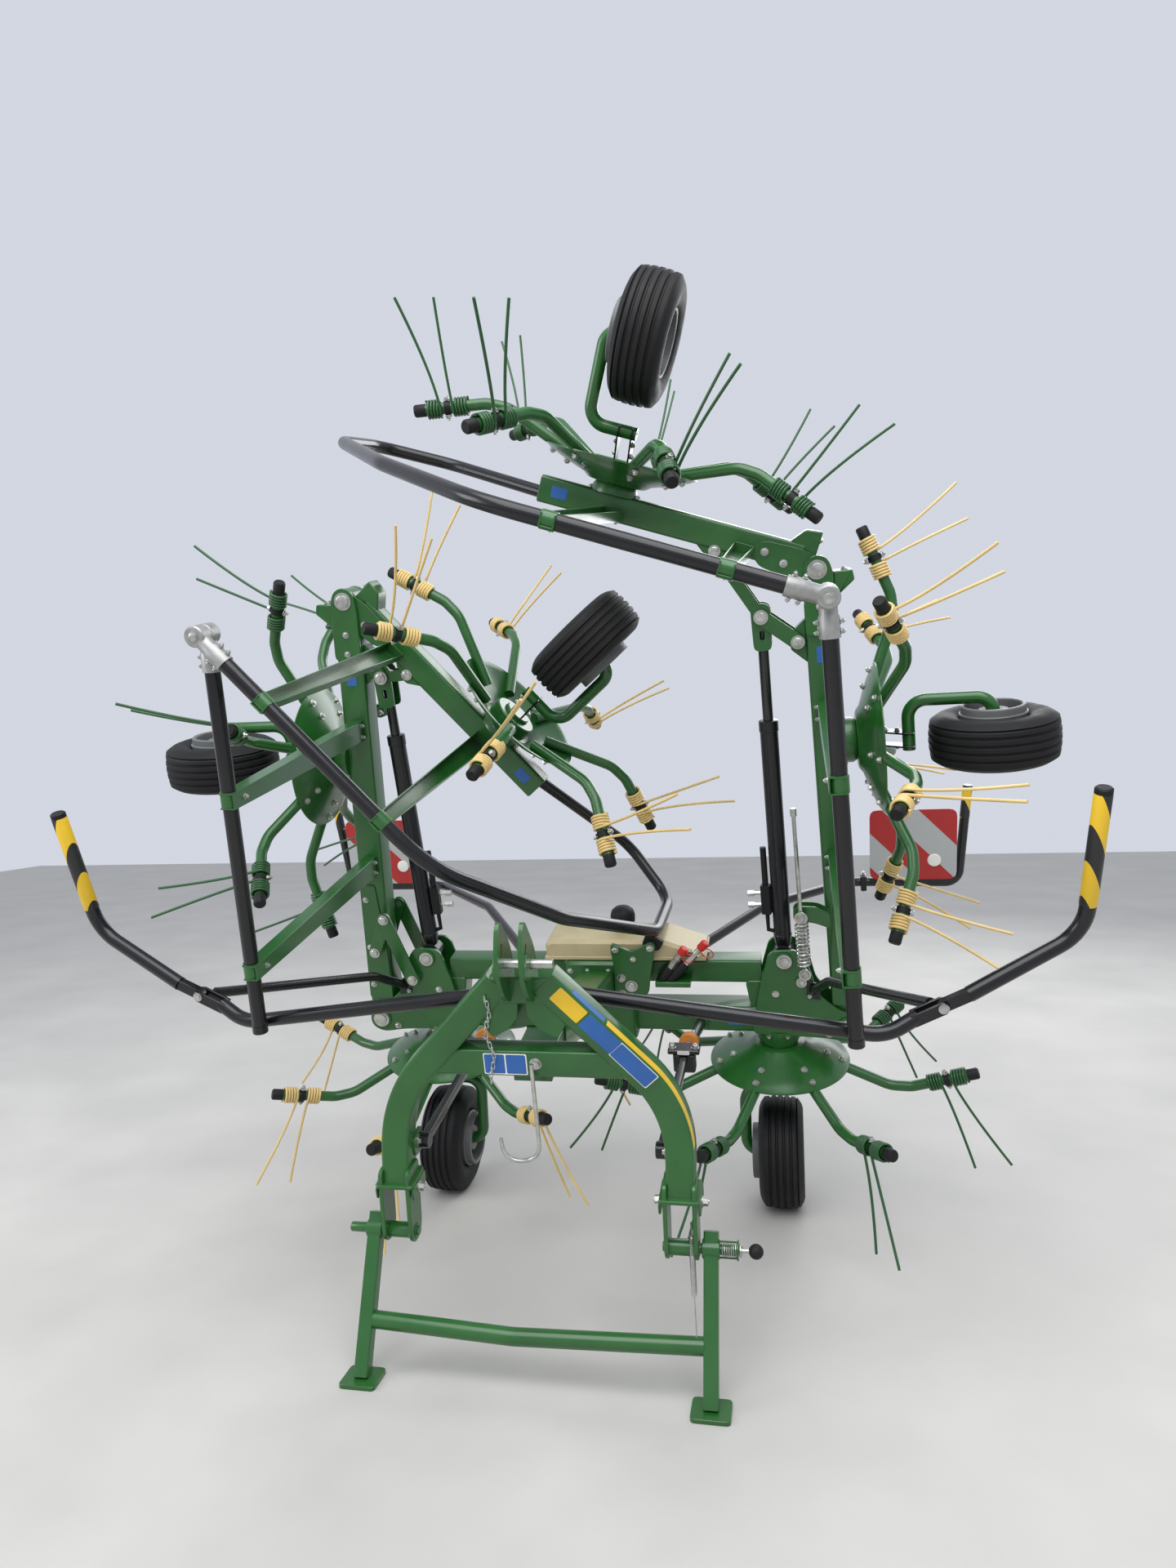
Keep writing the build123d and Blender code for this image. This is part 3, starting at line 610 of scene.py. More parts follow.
def boltRow(spots, axis, size=0.008, height=0.007):
    return [shape for spot in spots for shape in hexBolt(spot, axis, size, height)]


def boltPairs(spots, half, size, height):
    # bolts at places in X and Z on both faces
    faces = [[(x, sign * half, z) for x, z in spots] for sign in (-1, 1)]
    return boltRow(faces[0], forward, size, height) + boltRow(faces[1], (0, 1, 0), size, height)


def housingBolts(x, across, z):
    # eight bolts from below round a gear housing
    angles = [math.pi * (k + 0.5) / 4 for k in range(8)]
    spots = [(x + 0.088 * math.cos(angle), across * math.sin(angle), z) for angle in angles]
    return boltRow(spots, downward, 0.007, 0.006)


def unleaned(point):
    # the place in the machine's own frame of a point of the leaned machine, y counted as in that frame
    x, y, z = point
    z -= setDown
    return np.array((x, leanCos * y + leanSin * z, -leanSin * y + leanCos * z))


# Guards: black tubes on green channel brackets, with cast elbows between the arms' guards
guard = {
    "radius": 0.022, "middleY": -0.96, "outerY": -1.01, "seam": -0.985, "barY": -0.925,
    "joint": (1.12, -0.879, 0.514), "jointGap": 0.075, "slope": math.radians(27.6),
    "socket": 0.0265, "socketLength": 0.105,
    "middleBracket": (-0.0485, -0.018, 0.028, 0.024, 0.038),
    "outerBracket": (-0.0425, -0.018, 0.018, 0.02, 0.034),
    "loop": ((0.336, -0.611), (0.675, -0.12), (0.69, 0.22), (0.435, 0.33), (-0.08, 0.07)),
    "brace": ((0.786, -0.074, 0.15), (0.838, -0.23, 0.262), (1.092, -0.845, 0.502)),
    "braceFoot": ((0.762, 0.118), (0.812, 0.11), (0.806, 0.176), (0.764, 0.184)),
}
beamEnd = hingeX + 0.965


def beyondJoint(distance, aside=0.0):
    # along the front guard's slope from its joint, and to the side of it
    x, y, z = guard["joint"]
    c, s = math.cos(guard["slope"]), math.sin(guard["slope"])
    return (x + c * distance - s * aside, y, z + s * distance + c * aside)


def jointLug(distance, half):
    back = math.copysign(half, -distance)
    corners = [(distance, half), (0, half), (back * 0.8, half * 0.6), (back, 0)]
    corners += [(back * 0.8, -half * 0.6), (0, -half), (distance, -half)]
    return [beyondJoint(a, b)[::2] for a, b in corners]


def channelBracket(station, tubeY, seatY, lowZ, highZ, narrow, wide):
    # web on top, a flange down each edge, a foot on the beam and a band round the tube
    wall = 0.004
    out = -0.026 if tubeY < seatY else 0.026
    web = [(station - narrow, tubeY + out), (station + narrow, tubeY + out)]
    web += [(station + wide, seatY), (station - wide, seatY)]
    shapes = [cutPlate(web, highZ - wall, highZ, "z", 0.001)]
    for sign in (-1, 1):
        near, far = station + sign * narrow, station + sign * wide
        flange = [(near, tubeY + out), (far, seatY)]
        flange += [(far - sign * wall, seatY), (near - sign * wall, tubeY + out)]
        shapes.append(cutPlate(flange, lowZ, highZ - wall / 2, "z", 0.001))
    shapes.append(block((station - wide, station + wide), (seatY - 0.005, seatY), (lowZ, highZ), 0.001))
    shapes.append(bar("x", (station, tubeY, 0), (-narrow, narrow), guard["radius"] + 0.003))
    spots = [(station, tubeY + 0.035, highZ)]
    spots += [(station + share * wide, seatY - 0.02, highZ) for share in (-0.55, 0.55)]
    return shapes, boltRow(spots, upward, 0.007)


def castElbow(tubeY, direction):
    # hub on the hinge's line, with a socket that holds the end of the guard's tube
    end = tubeY + (guard["radius"] if tubeY > guard["seam"] else -guard["radius"])
    start = guard["seam"] + math.copysign(0.0003, end - guard["seam"])
    ys = [start, start + (end - start) * 0.06, start + (end - start) * 0.9, end]
    hub = bar("y", (hingeX, 0, 0), ys, [0.027, 0.0295, 0.0295, 0.026], 28)
    reach = direction * guard["socketLength"]
    socket = guard["socket"]
    places = (0, reach * 0.45, reach * 0.5, reach)
    holder = bar("x", (hingeX, tubeY, 0), places, [0.0225, 0.0235, socket, socket])
    bolts = [pinHead((hingeX, end, 0), (0, end - start, 0), 0.011, 0.005)]
    for axis in (upward, downward):
        bolts += boltRow([(hingeX + reach * at, tubeY, axis[2] * socket) for at in (0.62, 0.86)], axis, 0.006)
    return [hub, holder], bolts


def guardFittings(title, side, stage, tubeY, stations, bracket, direction):
    # the brackets and the cast elbow of an arm's guard, with their bolts
    brackets, bolts = [], []
    for station in stations:
        shapes, heads = channelBracket(station, tubeY, *bracket)
        brackets += shapes
        bolts += heads
    elbow, heads = castElbow(tubeY, direction)
    sidePiece(title + "GuardBrackets", brackets, "greenPaint", side, stage)
    sidePiece(title + "GuardElbow", elbow, "castAlloy", side, stage)
    sidePiece(title + "GuardBolts", bolts + heads, "zincSteel", side, stage)


run = [(0.09, guard["barY"], 0.56), (0.967, -0.906, 0.434), beyondJoint(-guard["jointGap"])]
wholeRun = [(-x, y, z) for x, y, z in run[::-1]] + run
frontTubes = [tube(roundedPath(wholeRun, (0.14, 0.4, 0.4, 0.14)), guard["radius"], 20)]
jointX, jointY, jointZ = guard["joint"]
oneSide = [pipe(guard["brace"], (0.16,), 0.017)]
oneSide += platesAt(jointLug(-0.09, 0.018), (jointY - 0.021, jointY + 0.013), 0.008)
oneSide.append(cutPlate(guard["braceFoot"], -0.0765, -0.0695))
oneBolts = [pinHead((jointX, jointY + sign * 0.021, jointZ), (0, sign, 0), 0.01) for sign in (-1, 1)]
oneBolts += boltRow([(0.772, -0.0765, 0.126), (0.798, -0.0765, 0.172)], forward, 0.006)
frontTubes += bothSides(oneSide)
addPiece("frontGuardTubes", frontTubes, "blackPaint", replaced=("front_guard",))
addPiece("frontGuardBolts", bothSides(oneBolts), "zincSteel")

for side in sides:
    tipRun = [beyondJoint(guard["jointGap"]), (1.486, -0.815, 0.705), (1.501, -0.868, 1.114)]
    tipPath = roundedPath(tipRun, (0.12,))
    lug = cutPlate(jointLug(0.093, 0.017), jointY - 0.012, jointY + 0.012)
    tip = [tube(tipPath, guard["radius"], 20), lug]
    sidePiece("guardTipTube", tip, "blackPaint", side, 0, "guard_tip", "front_guard_tip")
    top, up = tipPath[-1], unit(tipPath[-1] - tipPath[-2])
    places = [top - up * down for down in (0.33, 0.328, 0.012, 0.01)]
    strip = tube(places, [0.0222, 0.0232, 0.0232, 0.0222], 24)
    sidePiece("guardTipStrip", [strip], "hazard" + side.title(), side, 0, "guard_tip")
    cap = tube([top - up * 0.01, top + up * 0.003, top + up * 0.007], [0.0226, 0.0226, 0.018], 20)
    sidePiece("guardTipCap", [cap], "blackRubber", side, 0, "guard_tip")

    y = guard["middleY"]
    start, end = pivotX + 0.437, hingeX
    rod = [bar("x", (0, y, 0), (start, end - 0.03), guard["radius"], 20)]
    rod.append(bar("x", (0, y, 0), (start - 0.004, start + 0.02), guard["radius"] + 0.0015, 20))
    sidePiece("middleGuardTube", rod, "blackPaint", side, 1, node="middle_guard")
    guardFittings("middle", side, 1, y, (pivotX + 0.64, pivotX + 1.175), guard["middleBracket"], -1)

    y = guard["outerY"]
    path = [(hingeX + 0.03, y, 0), (beamEnd - 0.085, y, 0)]
    path += [(beamEnd + out, across, 0) for out, across in guard["loop"]]
    shape = tube(roundedPath(path, (0.3, 0.3, 0.14, 0.12, 0.15), 10), guard["radius"], 20)
    sidePiece("outerGuardTube", [shape], "blackPaint", side, 2, node="outer_guard")
    guardFittings("outer", side, 2, y, (hingeX + 0.25, hingeX + 0.7), guard["outerBracket"], 1)
print("guards")

# Wheel legs: bolted bracket under the rotor's axle, then a bent tube whose end turns into the hub's cup
leg = {"radius": 0.021, "foot": -0.167, "drop": -0.262, "offset": 0.132, "plateY": -0.06, "column": 0.0495}
foot, drop = leg["foot"], leg["drop"]
legOutline = [(0.026, foot), (-0.026, foot), (-0.084, drop + 0.016), (-0.088, drop - 0.014)]
legOutline += [(-0.04, drop - 0.02), (-0.02, drop)]
legBolts = ((-0.01, foot - 0.024), (-0.034, foot - 0.06), (-0.058, drop - 0.002))
for name, side, stage, centre, legSide in eachWheel():
    x, wheelAxleY, wheelAxleZ = centre
    column = bar("z", (x, 0, 0), (foot, foot + 0.004, -0.0952), [0.046, leg["column"], leg["column"]], 32)
    plates = platesAt(legOutline, (x - 0.026, x + 0.02), 0.006, "x")
    heads = []
    for sign in (-1, 1):
        heads += boltRow([(x + sign * 0.026, y, z) for y, z in legBolts], (sign, 0, 0))
    out = x + legSide * leg["offset"]
    run = [(x - legSide * 0.036, leg["plateY"], drop), (out, leg["plateY"], drop)]
    run += [(out, wheelAxleY, wheelAxleZ), (x + legSide * 0.03, wheelAxleY, wheelAxleZ)]
    bent = tube(roundedPath(run, (0.06, 0.05), 10), leg["radius"], 20)
    place = name.split("_")[0]
    sidePiece(f"legTube_{place}", [column, bent], "greenPaint", side, stage, node=f"wheel_leg_{place}")
    sidePiece(f"legPlates_{place}", plates, "blackPaint", side, stage)
    sidePiece(f"legBolts_{place}", heads, "zincSteel", side, stage)
print("wheel legs")


def softened(outline, radius, steps=5):
    # each corner p of a closed outline becomes the curve (1 - t)^2 a + 2 t (1 - t) p + t^2 b
    corners = np.array(outline, float)
    toLast, toNext = np.roll(corners, 1, 0) - corners, np.roll(corners, -1, 0) - corners
    lastLength, nextLength = (np.linalg.norm(way, axis=1)[:, None] for way in (toLast, toNext))
    a = corners + toLast / lastLength * np.minimum(radius, lastLength * 0.48)
    b = corners + toNext / nextLength * np.minimum(radius, nextLength * 0.48)
    t = np.linspace(0, 1, steps)[None, :, None]
    curve = (1 - t) ** 2 * a[:, None] + 2 * t * (1 - t) * corners[:, None] + t ** 2 * b[:, None]
    return curve.reshape(-1, 2)


def rectangle(a, b):
    return [(a[0], b[0]), (a[1], b[0]), (a[1], b[1]), (a[0], b[1])]


def rounded(halfA, halfB, radius=0.012):
    return softened([(halfA, halfB), (-halfA, halfB), (-halfA, -halfB), (halfA, -halfB)], radius)


def softPlate(outline, radius, low, high, axis="y", edge=0.0015, steps=5):
    # a flat plate whose outline has curved corners
    return cutPlate(softened(outline, radius, steps), low, high, axis, edge)


def swept(path, section, side=(0, 1, 0)):
    # a flat section carried along a path: p(u, v) = path(u) + a side + b (along x side)
    path, section, side = np.array(path, float), np.array(section, float), np.array(side, float)
    across = np.cross(courses(path), side)
    across /= np.linalg.norm(across, axis=1)[:, None]
    points = path[:, None] + section[None, :, :1] * side + section[None, :, 1:] * across[:, None]
    return capped(points, grid(points, closeV=True))


def beam(start, end, low, high, half):
    # a box beam with rounded corners along X
    z = (low + high) / 2
    return swept([(start, 0, z), (end, 0, z)], rounded(half, (high - low) / 2))


def ringPlate(outline, hole, low, high, axis="y", count=72):
    # a flat plate with a hole: both rims as radius against the angle about the middle of the hole
    outline, hole = np.array(outline, float), np.array(hole, float)
    centre = hole.mean(axis=0)
    angle = np.linspace(-np.pi, np.pi, count, endpoint=False)
    rims = []
    for border in (outline, hole):
        steps = (np.roll(border, -1, 0) - border)[:, None] * np.linspace(0, 1, 12)[None, :, None]
        dense = (border[:, None] + steps).reshape(-1, 2) - centre
        turn = np.arctan2(dense[:, 1], dense[:, 0])
        order = np.argsort(turn)
        reach = np.interp(angle, turn[order], np.hypot(*dense.T)[order], period=2 * np.pi)
        rims.append(centre + reach[:, None] * np.stack([np.cos(angle), np.sin(angle)], -1))
    rings = []
    for border, height in ((rims[0], low), (rims[0], high), (rims[1], high), (rims[1], low)):
        a, b = border.T
        rings.append(flatRing(a, b, height, axis))
    return grid(np.array(rings), closeU=True, closeV=True)


def label(centre, direction, halfLong, halfWide, face, thick=0.0008):
    # a thin rounded plate on a front face, its long side along direction
    u = unit(direction)
    w = np.array((-u[1], u[0]))
    signs = ((1, 1), (-1, 1), (-1, -1), (1, -1))
    corners = [np.array(centre) + u * a * halfLong + w * b * halfWide for a, b in signs]
    return softPlate(corners, 0.004, face - thick, face + 0.0002, "y", 0.0002, 3)


def linkPlate(first, last, half, low, high):
    # a flat link with round ends between two places in X and Z
    first, last = np.array(first, float), np.array(last, float)
    turn = math.atan2(*(last - first)[::-1])
    ends = []
    for centre, start in ((first, turn + np.pi / 2), (last, turn - np.pi / 2)):
        angle = start + np.linspace(0, np.pi, 9)
        ends.append(centre + half * np.stack([np.cos(angle), np.sin(angle)], -1))
    return cutPlate(np.vstack(ends), low, high, "y", 0.001)


def spring(start, way, length, turns, radius, wire, steps, sides):
    # helix p(t) = start + way length t + radius (y cos a + across sin a), with a = 2 pi turns t
    t = np.linspace(0, 1, steps)
    angle = (2 * np.pi * turns * t)[:, None]
    circle = np.cos(angle) * np.array((0, 1.0, 0)) + np.sin(angle) * np.cross(way, (0, 1, 0))
    return tube(start + np.outer(length * t, way) + radius * circle, wire, sides)


def wireRing(middle, u, w, wire, steps, sides):
    # a wire round an ellipse: p(t) = middle + u cos t + w sin t
    t = np.linspace(0, 2 * np.pi, steps)[:, None]
    return tube(middle + np.cos(t) * np.array(u) + np.sin(t) * np.array(w), wire, sides, False)


# Centre frame: gear beam, upper beam, hinge plates with their bosses, gearbox, drawbar and rest plate
centre = {
    "lowBeam": (-0.036, 0.064), "highBeam": (0.16, 0.248), "depths": (0.055, 0.045),
    "hingePlate": 0.07, "plate": 0.014,
    "rest": ((0.06, 0.128), (0.13, 0.11), (0.19, 0.15), (0.2, 0.225), (0.226, 0.345), (0.21, 0.36),
             (0.136, 0.318), (0.062, 0.352), (0.056, 0.335), (0.066, 0.24)),
    "restBolts": ((0.074, 0.328, 0.01), (0.204, 0.334, 0.01), (0.139, 0.29, 0.008), (0.09, 0.214, 0.012),
                  (0.092, 0.15, 0.012)),
    "pad": ((0.17, 0.31), (0.236, 0.318), (0.254, 0.35), (0.226, 0.366), (0.206, 0.386), (0.19, 0.38),
            (0.176, 0.35)),
    "hinge": ((0.56, -0.036), (0.585, 0.12), (0.6, 0.19), (0.632, 0.3), (0.735, 0.305),
              (0.775, 0.235), (0.8, 0.13), (0.88, 0.062), (0.93, 0.05), (0.955, 0.01),
              (0.95, -0.035), (0.905, -0.06), (0.82, -0.046)),
    "pins": ((0.684, 0.262, 0.019), (0.905, 0.0, 0.022), (0.744, 0.18, 0.013)),
    "web": ((0.56, 0.055), (0.64, 0.055), (0.64, 0.17), (0.54, 0.17)),
    "hingeBolts": ((0.6, -0.0702, 0.01), (0.84, -0.0702, -0.03), (0.65, -0.0702, 0.13)),
}
lowDepth, highDepth = centre["depths"]
shapes = [beam(-0.82, 0.82, *centre["lowBeam"], lowDepth), beam(-0.6, 0.6, *centre["highBeam"], highDepth)]
shapes.append(softPlate(rectangle((-0.13, 0.13), (-0.11, 0.11)), 0.03, -0.056, 0.268, "z", 0.01))
shapes.append(swept([(0, -0.1, 0.1825), (0, -0.9, 0.395)], rounded(0.06, 0.051), (1, 0, 0)))
shapes.append(softPlate(centre["rest"], 0.02, -0.124, -0.109, "y", 0.002))
shapes.append(block((0.215, 0.345), (-0.122, -0.04), (0.176, 0.196)))
plateFaces = (-centre["hingePlate"], centre["hingePlate"] - centre["plate"])
oneSide = platesAt(softened(centre["hinge"], 0.03), plateFaces, centre["plate"], "y", 0.002)
for x, z, radius in centre["pins"]:
    for sign in (-1, 1):
        ys = (sign * 0.069, sign * 0.076, sign * 0.0775)
        oneSide.append(bar("y", (x, 0, z), ys, (radius * 1.75, radius * 1.75, radius * 1.6), 28))
for x, z, radius in ((pivotX, 0, 0.022), (0.684, 0.262, 0.018)):
    oneSide.append(bar("y", (x, 0, z), (-0.063, 0.063), radius))
housing = [(0.06, -0.0947), (0.07, -0.0935), (0.078, -0.075), (0.078, -0.03)]
oneSide.append(turned(housing, 48, "z", (0.655, 0, 0)))
oneSide.append(block((0.347, 0.397), (-0.084, -0.05), (-0.014, 0.042)))
oneSide.append(softPlate(centre["web"], 0.02, -0.047, 0.047, "y", 0.003))
addPiece("centreFrame", shapes + bothSides(oneSide), "greenPaint", replaced=("centre_frame",))
oneSide = [head for x, z, radius in centre["pins"] for head in pinPair(x, 0.0775, z, radius, 0.009)]
oneSide += boltRow(centre["hingeBolts"], forward, 0.01, 0.008) + housingBolts(0.655, 0.088, -0.036)
heads = [pinHead((0.127, -0.124, 0.182), forward, 0.016, 0.012)]
for x, z, size in centre["restBolts"]:
    heads += hexBolt((x, -0.124, z), forward, size, size)
for x in (-0.105, -0.04, 0.04, 0.105):
    heads += hexBolt((x, -0.11, 0.235), forward)
    heads += boltRow([(x, 0.11, 0.235), (x, 0.11, 0.02)], (0, 1, 0))
addPiece("centreBolts", heads + bothSides(oneSide), "zincSteel")
pad = softPlate(centre["pad"], 0.008, -0.1085, -0.086, "y", 0.002)
stubProfile = [(0.018, 0.1), (0.018, 0.17), (0.0175, 0.171), (0.0175, 0.23), (0.0165, 0.232)]
stub = turned(stubProfile, 24, "y", (0, 0, 0.1))
shieldProfile = [(0.046, 0.108), (0.05, 0.112), (0.062, 0.18), (0.06, 0.181), (0.048, 0.114)]
shield = turned(shieldProfile, 40, "y", (0, 0, 0.1))
addPiece("centrePads", [pad, shield], "blackRubber")
addPiece("gearStub", [stub], "zincSteel")
stickers = [label((x, 0.014), (1, 0), 0.03, 0.02, -0.0552) for x in (0.5, -0.49)]
addPiece("frameLabels", stickers, "plateBlue")
print("centre frame")

# Headstock: bent square legs, cross beam, slotted hitch plates and curved lower lugs
headstock = {
    "legs": ((0.406, -1.152, 0.081), (0.413, -1.078, 0.306), (0.062, -1.08, 0.68)),
    "half": 0.04, "corner": 0.011, "bend": 0.32, "crossZ": 0.438, "topY": -1.08, "pin": (-1.135, 0.75),
    "leaf": ((-0.01, 0.136), (-0.05, 0.07), (-0.066, 0), (-0.048, -0.06), (0, -0.12), (0.07, -0.12),
             (0.082, -0.04), (0.062, 0.03), (0.028, 0.08)),
    "slot": ((-0.018, 0.064), (-0.036, 0.03), (-0.03, 0.024), (-0.004, 0.06)),
    "rib": ((-0.02, 0.05), (-0.064, 0.01), (-0.06, -0.02), (-0.03, -0.04), (0.01, -0.02),
            (0.01, 0.02)),
    "eye": ((-1.118, 0.128), (-1.046, 0.12), (-1.046, 0.19), (-1.118, 0.184)),
    "gusset": ((0.01, 0.628), (0.08, 0.628), (0.118, 0.562), (0.092, 0.52), (0.042, 0.545),
               (0.016, 0.58)),
    "band": ((-0.031, -0.0407), (-0.031, -0.0396), (-0.006, -0.0396), (-0.006, -0.0407)),
}
hitch = unleaned((0, -1.135, 0.369))[1:]
legY, legZ = headstock["legs"][0][1:]
lugY, lugTop = legY - hitch[0], legZ - hitch[1] + 0.046
lugOutline = [(-0.02, -0.028), (0.02, -0.028), (0.044, 0)]
lugOutline += [(lugY + 0.044, lugTop), (lugY - 0.044, lugTop), (-0.038, 0)]
topY, crossZ, half = headstock["topY"], headstock["crossZ"], headstock["half"]
legPath = roundedPath(headstock["legs"], (headstock["bend"],), 14)
oneSide = [swept(legPath, rounded(half, half, headstock["corner"]))]
leafMiddle = np.array(headstock["pin"])
leaf, slot, rib = (leafMiddle + np.array(headstock[key]) for key in ("leaf", "slot", "rib"))
oneSide.append(ringPlate(softened(leaf, 0.04), softened(slot, 0.01), 0.027, 0.039, "x"))
pinHole = leafMiddle + 0.0135 * np.array(((1, 1), (-1, 1), (-1, -1), (1, -1)))
oneSide.append(ringPlate(softened(rib, 0.02), softened(pinHole, 0.009), 0.039, 0.045, "x"))
outline = softened(np.array(hitch) + np.array(lugOutline), 0.02)
oneSide += platesAt(outline, (0.36, 0.44), 0.012, "x", 0.002)
capOutline = rectangle((0.35, 0.462), (legY - 0.052, legY + 0.052))
oneSide.append(softPlate(capOutline, 0.012, legZ - 0.002, legZ + 0.01, "z", 0.002))
skirt = softened(rectangle((legY - 0.05, legY + 0.05), (legZ - 0.038, legZ)), 0.012)
oneSide += platesAt(skirt, (0.348, 0.457), 0.006, "x")
oneSide.append(softPlate(headstock["eye"], 0.015, 0.3633, 0.3747, "x", 0.001))
shapes = bothSides(oneSide)
shapes.append(swept([(-0.305, topY, crossZ), (0.305, topY, crossZ)], rounded(0.035, 0.04)))
crown = rectangle((-0.09, 0.09), (topY - 0.038, topY + 0.038))
shapes.append(softPlate(crown, 0.012, 0.62, 0.7, "z", 0.006))
shapes.append(block((-0.055, 0.055), (topY, -0.9003), (0.365, 0.435)))
shapes.append(block((-0.032, 0.032), (topY, -0.947), (0.538, 0.64)))
shapes += bothSides([softPlate(headstock["gusset"], 0.006, topY - 0.036, topY - 0.03, steps=3)])
addPiece("headstockSteel", shapes, "greenPaint", replaced=("headstock",))

ends = (-0.056, -0.052, 0.04, 0.0401, 0.0439, 0.044, 0.102, 0.105)
radii = (0.017, 0.0127, 0.0127, 0.0112, 0.0112, 0.0127, 0.0127, 0.011)
zincBits = [bar("x", (0, *headstock["pin"]), ends, radii, 28)]
zincBits += hexBolt((0.023, topY - 0.035, crossZ + 0.004), forward, 0.013, 0.012)
hookPath = [(0.015, topY - 0.052, 0.45), (0.015, topY - 0.054, 0.15)]
hookPath += [(-0.088, topY - 0.056, 0.142), (-0.094, topY - 0.056, 0.215)]
zincBits.append(pipe(hookPath, (0.052, 0.045), 0.0058, 12))
for side in (-1, 1):
    for x, direction in ((0.348, -1), (0.4635, 1)):
        spot = (side * x, legY - 0.002, legZ - 0.022)
        zincBits += hexBolt(spot, (side * direction, 0, 0), 0.012, 0.014)
    zincBits.append(pinHead((side * 0.363, -1.082, 0.16), (-side, 0, 0), 0.013, 0.012))
addPiece("headstockZinc", zincBits, "zincSteel", replaced=("hitch_pins",))

hitchLine = (0, *hitch)
ends = (0.352, 0.354, 0.506, 0.5062, 0.5098, 0.51, 0.557, 0.56)
radii = (0.0125, 0.014, 0.014, 0.0125, 0.0125, 0.014, 0.014, 0.0125)
lowerPin = [bar("x", hitchLine, ends, radii)]
lowerPin.append(bar("x", hitchLine, (0.3575, 0.359, 0.45, 0.4535), (0.02, 0.022, 0.022, 0.02)))
addPiece("lowerHitchPins", bothSides(lowerPin), "greenPaint")

legTop = legPath[-1]
legLine = unit(legPath[-2] - legTop)
band = np.array(headstock["band"])


def legLabel(down, halfLong, halfWide, thick=0.0008):
    # a label on the right leg's front face, at a distance down from its top
    place = (legTop + legLine * down)[::2] + np.array((0.008, 0.008))
    face = topY - headstock["half"] + 0.0004
    return label(place, (legLine[0], legLine[2]), halfLong, halfWide, face, thick)


def crossLabel(x, halfLong, halfWide, thick=0.0008):
    return label((x, crossZ), (1, 0), halfLong, halfWide, topY - 0.035, thick)


plates = [legLabel(0.205, 0.058, 0.025), legLabel(0.33, 0.066, 0.025)]
plates += [crossLabel(-0.094, 0.029, 0.029), crossLabel(-0.033, 0.028, 0.029)]
plates.append(swept([legTop + legLine * 0.19, legTop + legLine * 0.075], band))
addPiece("headstockLabels", plates, "plateBlue")
edge = swept(np.vstack([legPath[3:-1], [legTop + legLine * 0.2]]), band)
addPiece("headstockYellow", [edge, legLabel(0.09, 0.05, 0.024)], "stripYellow")
borders = [crossLabel(-0.0635, 0.062, 0.032, 0.0004), legLabel(0.33, 0.069, 0.027, 0.0004)]
addPiece("labelBorders", borders, "whitePlate")

links = []
for k in range(17):
    middle = np.array((-0.098 + 0.008 * math.sin(k * 0.7), topY - 0.046, 0.64 - 0.0155 * k))
    flat = (0.0045, 0, 0) if k % 2 else (0, 0.0045, 0)
    links.append(wireRing(middle, flat, (0, 0, 0.0105), 0.0016, 15, 6))
addPiece("hitchChain", links, "zincSteel")
print("headstock")

# Parking stand: square legs with foot plates, bent cross tube, locking pin and its long spring
stand = {"foot": (0.484, -1.266, 0.012), "half": 0.02, "cross": 0.024, "pad": (0.0525, 0.0475)}
standX, footY = stand["foot"][:2]
footPlace, headPlace = unleaned(stand["foot"]), np.array((standX, *hitch))
legWay = unit(footPlace - headPlace)
section = rounded(stand["half"], stand["half"], 0.005)
oneSide = [swept([headPlace - legWay * 0.045, footPlace], section, (1, 0, 0))]
halfX, halfY = stand["pad"]
padOutline = rectangle((standX - halfX, standX + halfX), (footY - halfY, footY + halfY))
padPoints, padFaces = softPlate(padOutline, 0.014, 0.0003, 0.012, "z", 0.001)
oneSide.append((np.array([unleaned(p) for p in padPoints]), padFaces))
oneSide.append(bar("x", hitchLine, (0.46, 0.462, 0.506, 0.508), (0.024, 0.026, 0.026, 0.024)))
crossPath = [unleaned(p) for p in ((-0.466, -1.214, 0.145), (-0.06, -1.214, 0.128), (0.466, -1.214, 0.145))]
shapes = bothSides(oneSide) + [tube(roundedPath(crossPath, (0.35,), 12), stand["cross"], 24)]
addPiece("standLegs", shapes, "greenPaint", "stand", replaced=("stand",))
angles = np.linspace(-1.35, 1.45, 13)
knob = bar("x", hitchLine, 0.604 + 0.02 * np.sin(angles), 0.02 * np.cos(angles))
addPiece("lockKnob", [knob], "blackRubber", "stand")
lock = [bar("x", hitchLine, (0.56, 0.588), 0.006, 12)]
lock.append(spring(np.array((0.512, *hitch)), np.array((1.0, 0, 0)), 0.054, 9, 0.0175, 0.0014, 90, 6))
springTop = np.array((0.428, hitch[0] + 0.034, hitch[1] + 0.055))
springLow = np.array((0.446, crossPath[2][1], crossPath[2][2] + 0.09))
way = unit(springLow - springTop)
lock.append(spring(springTop + way * 0.03, way, 0.15, 34, 0.0095, 0.0014, 460, 5))
lock.append(tube([springTop, springTop + way * 0.032], 0.002, 8))
lock.append(tube([springTop + way * 0.178, springLow - np.array((0, 0, 0.088))], 0.0018, 8))
addPiece("standSprings", lock, "zincSteel", "stand")
cage = [bar("x", (0, hitch[0], hitch[1] + z), (0.504, 0.556), 0.0025, 8) for z in (-0.026, 0.026)]
cage.append(bar("x", hitchLine, (0.554, 0.558), 0.027, 20))
addPiece("lockCage", cage, "greenPaint", "stand")
print("stand")

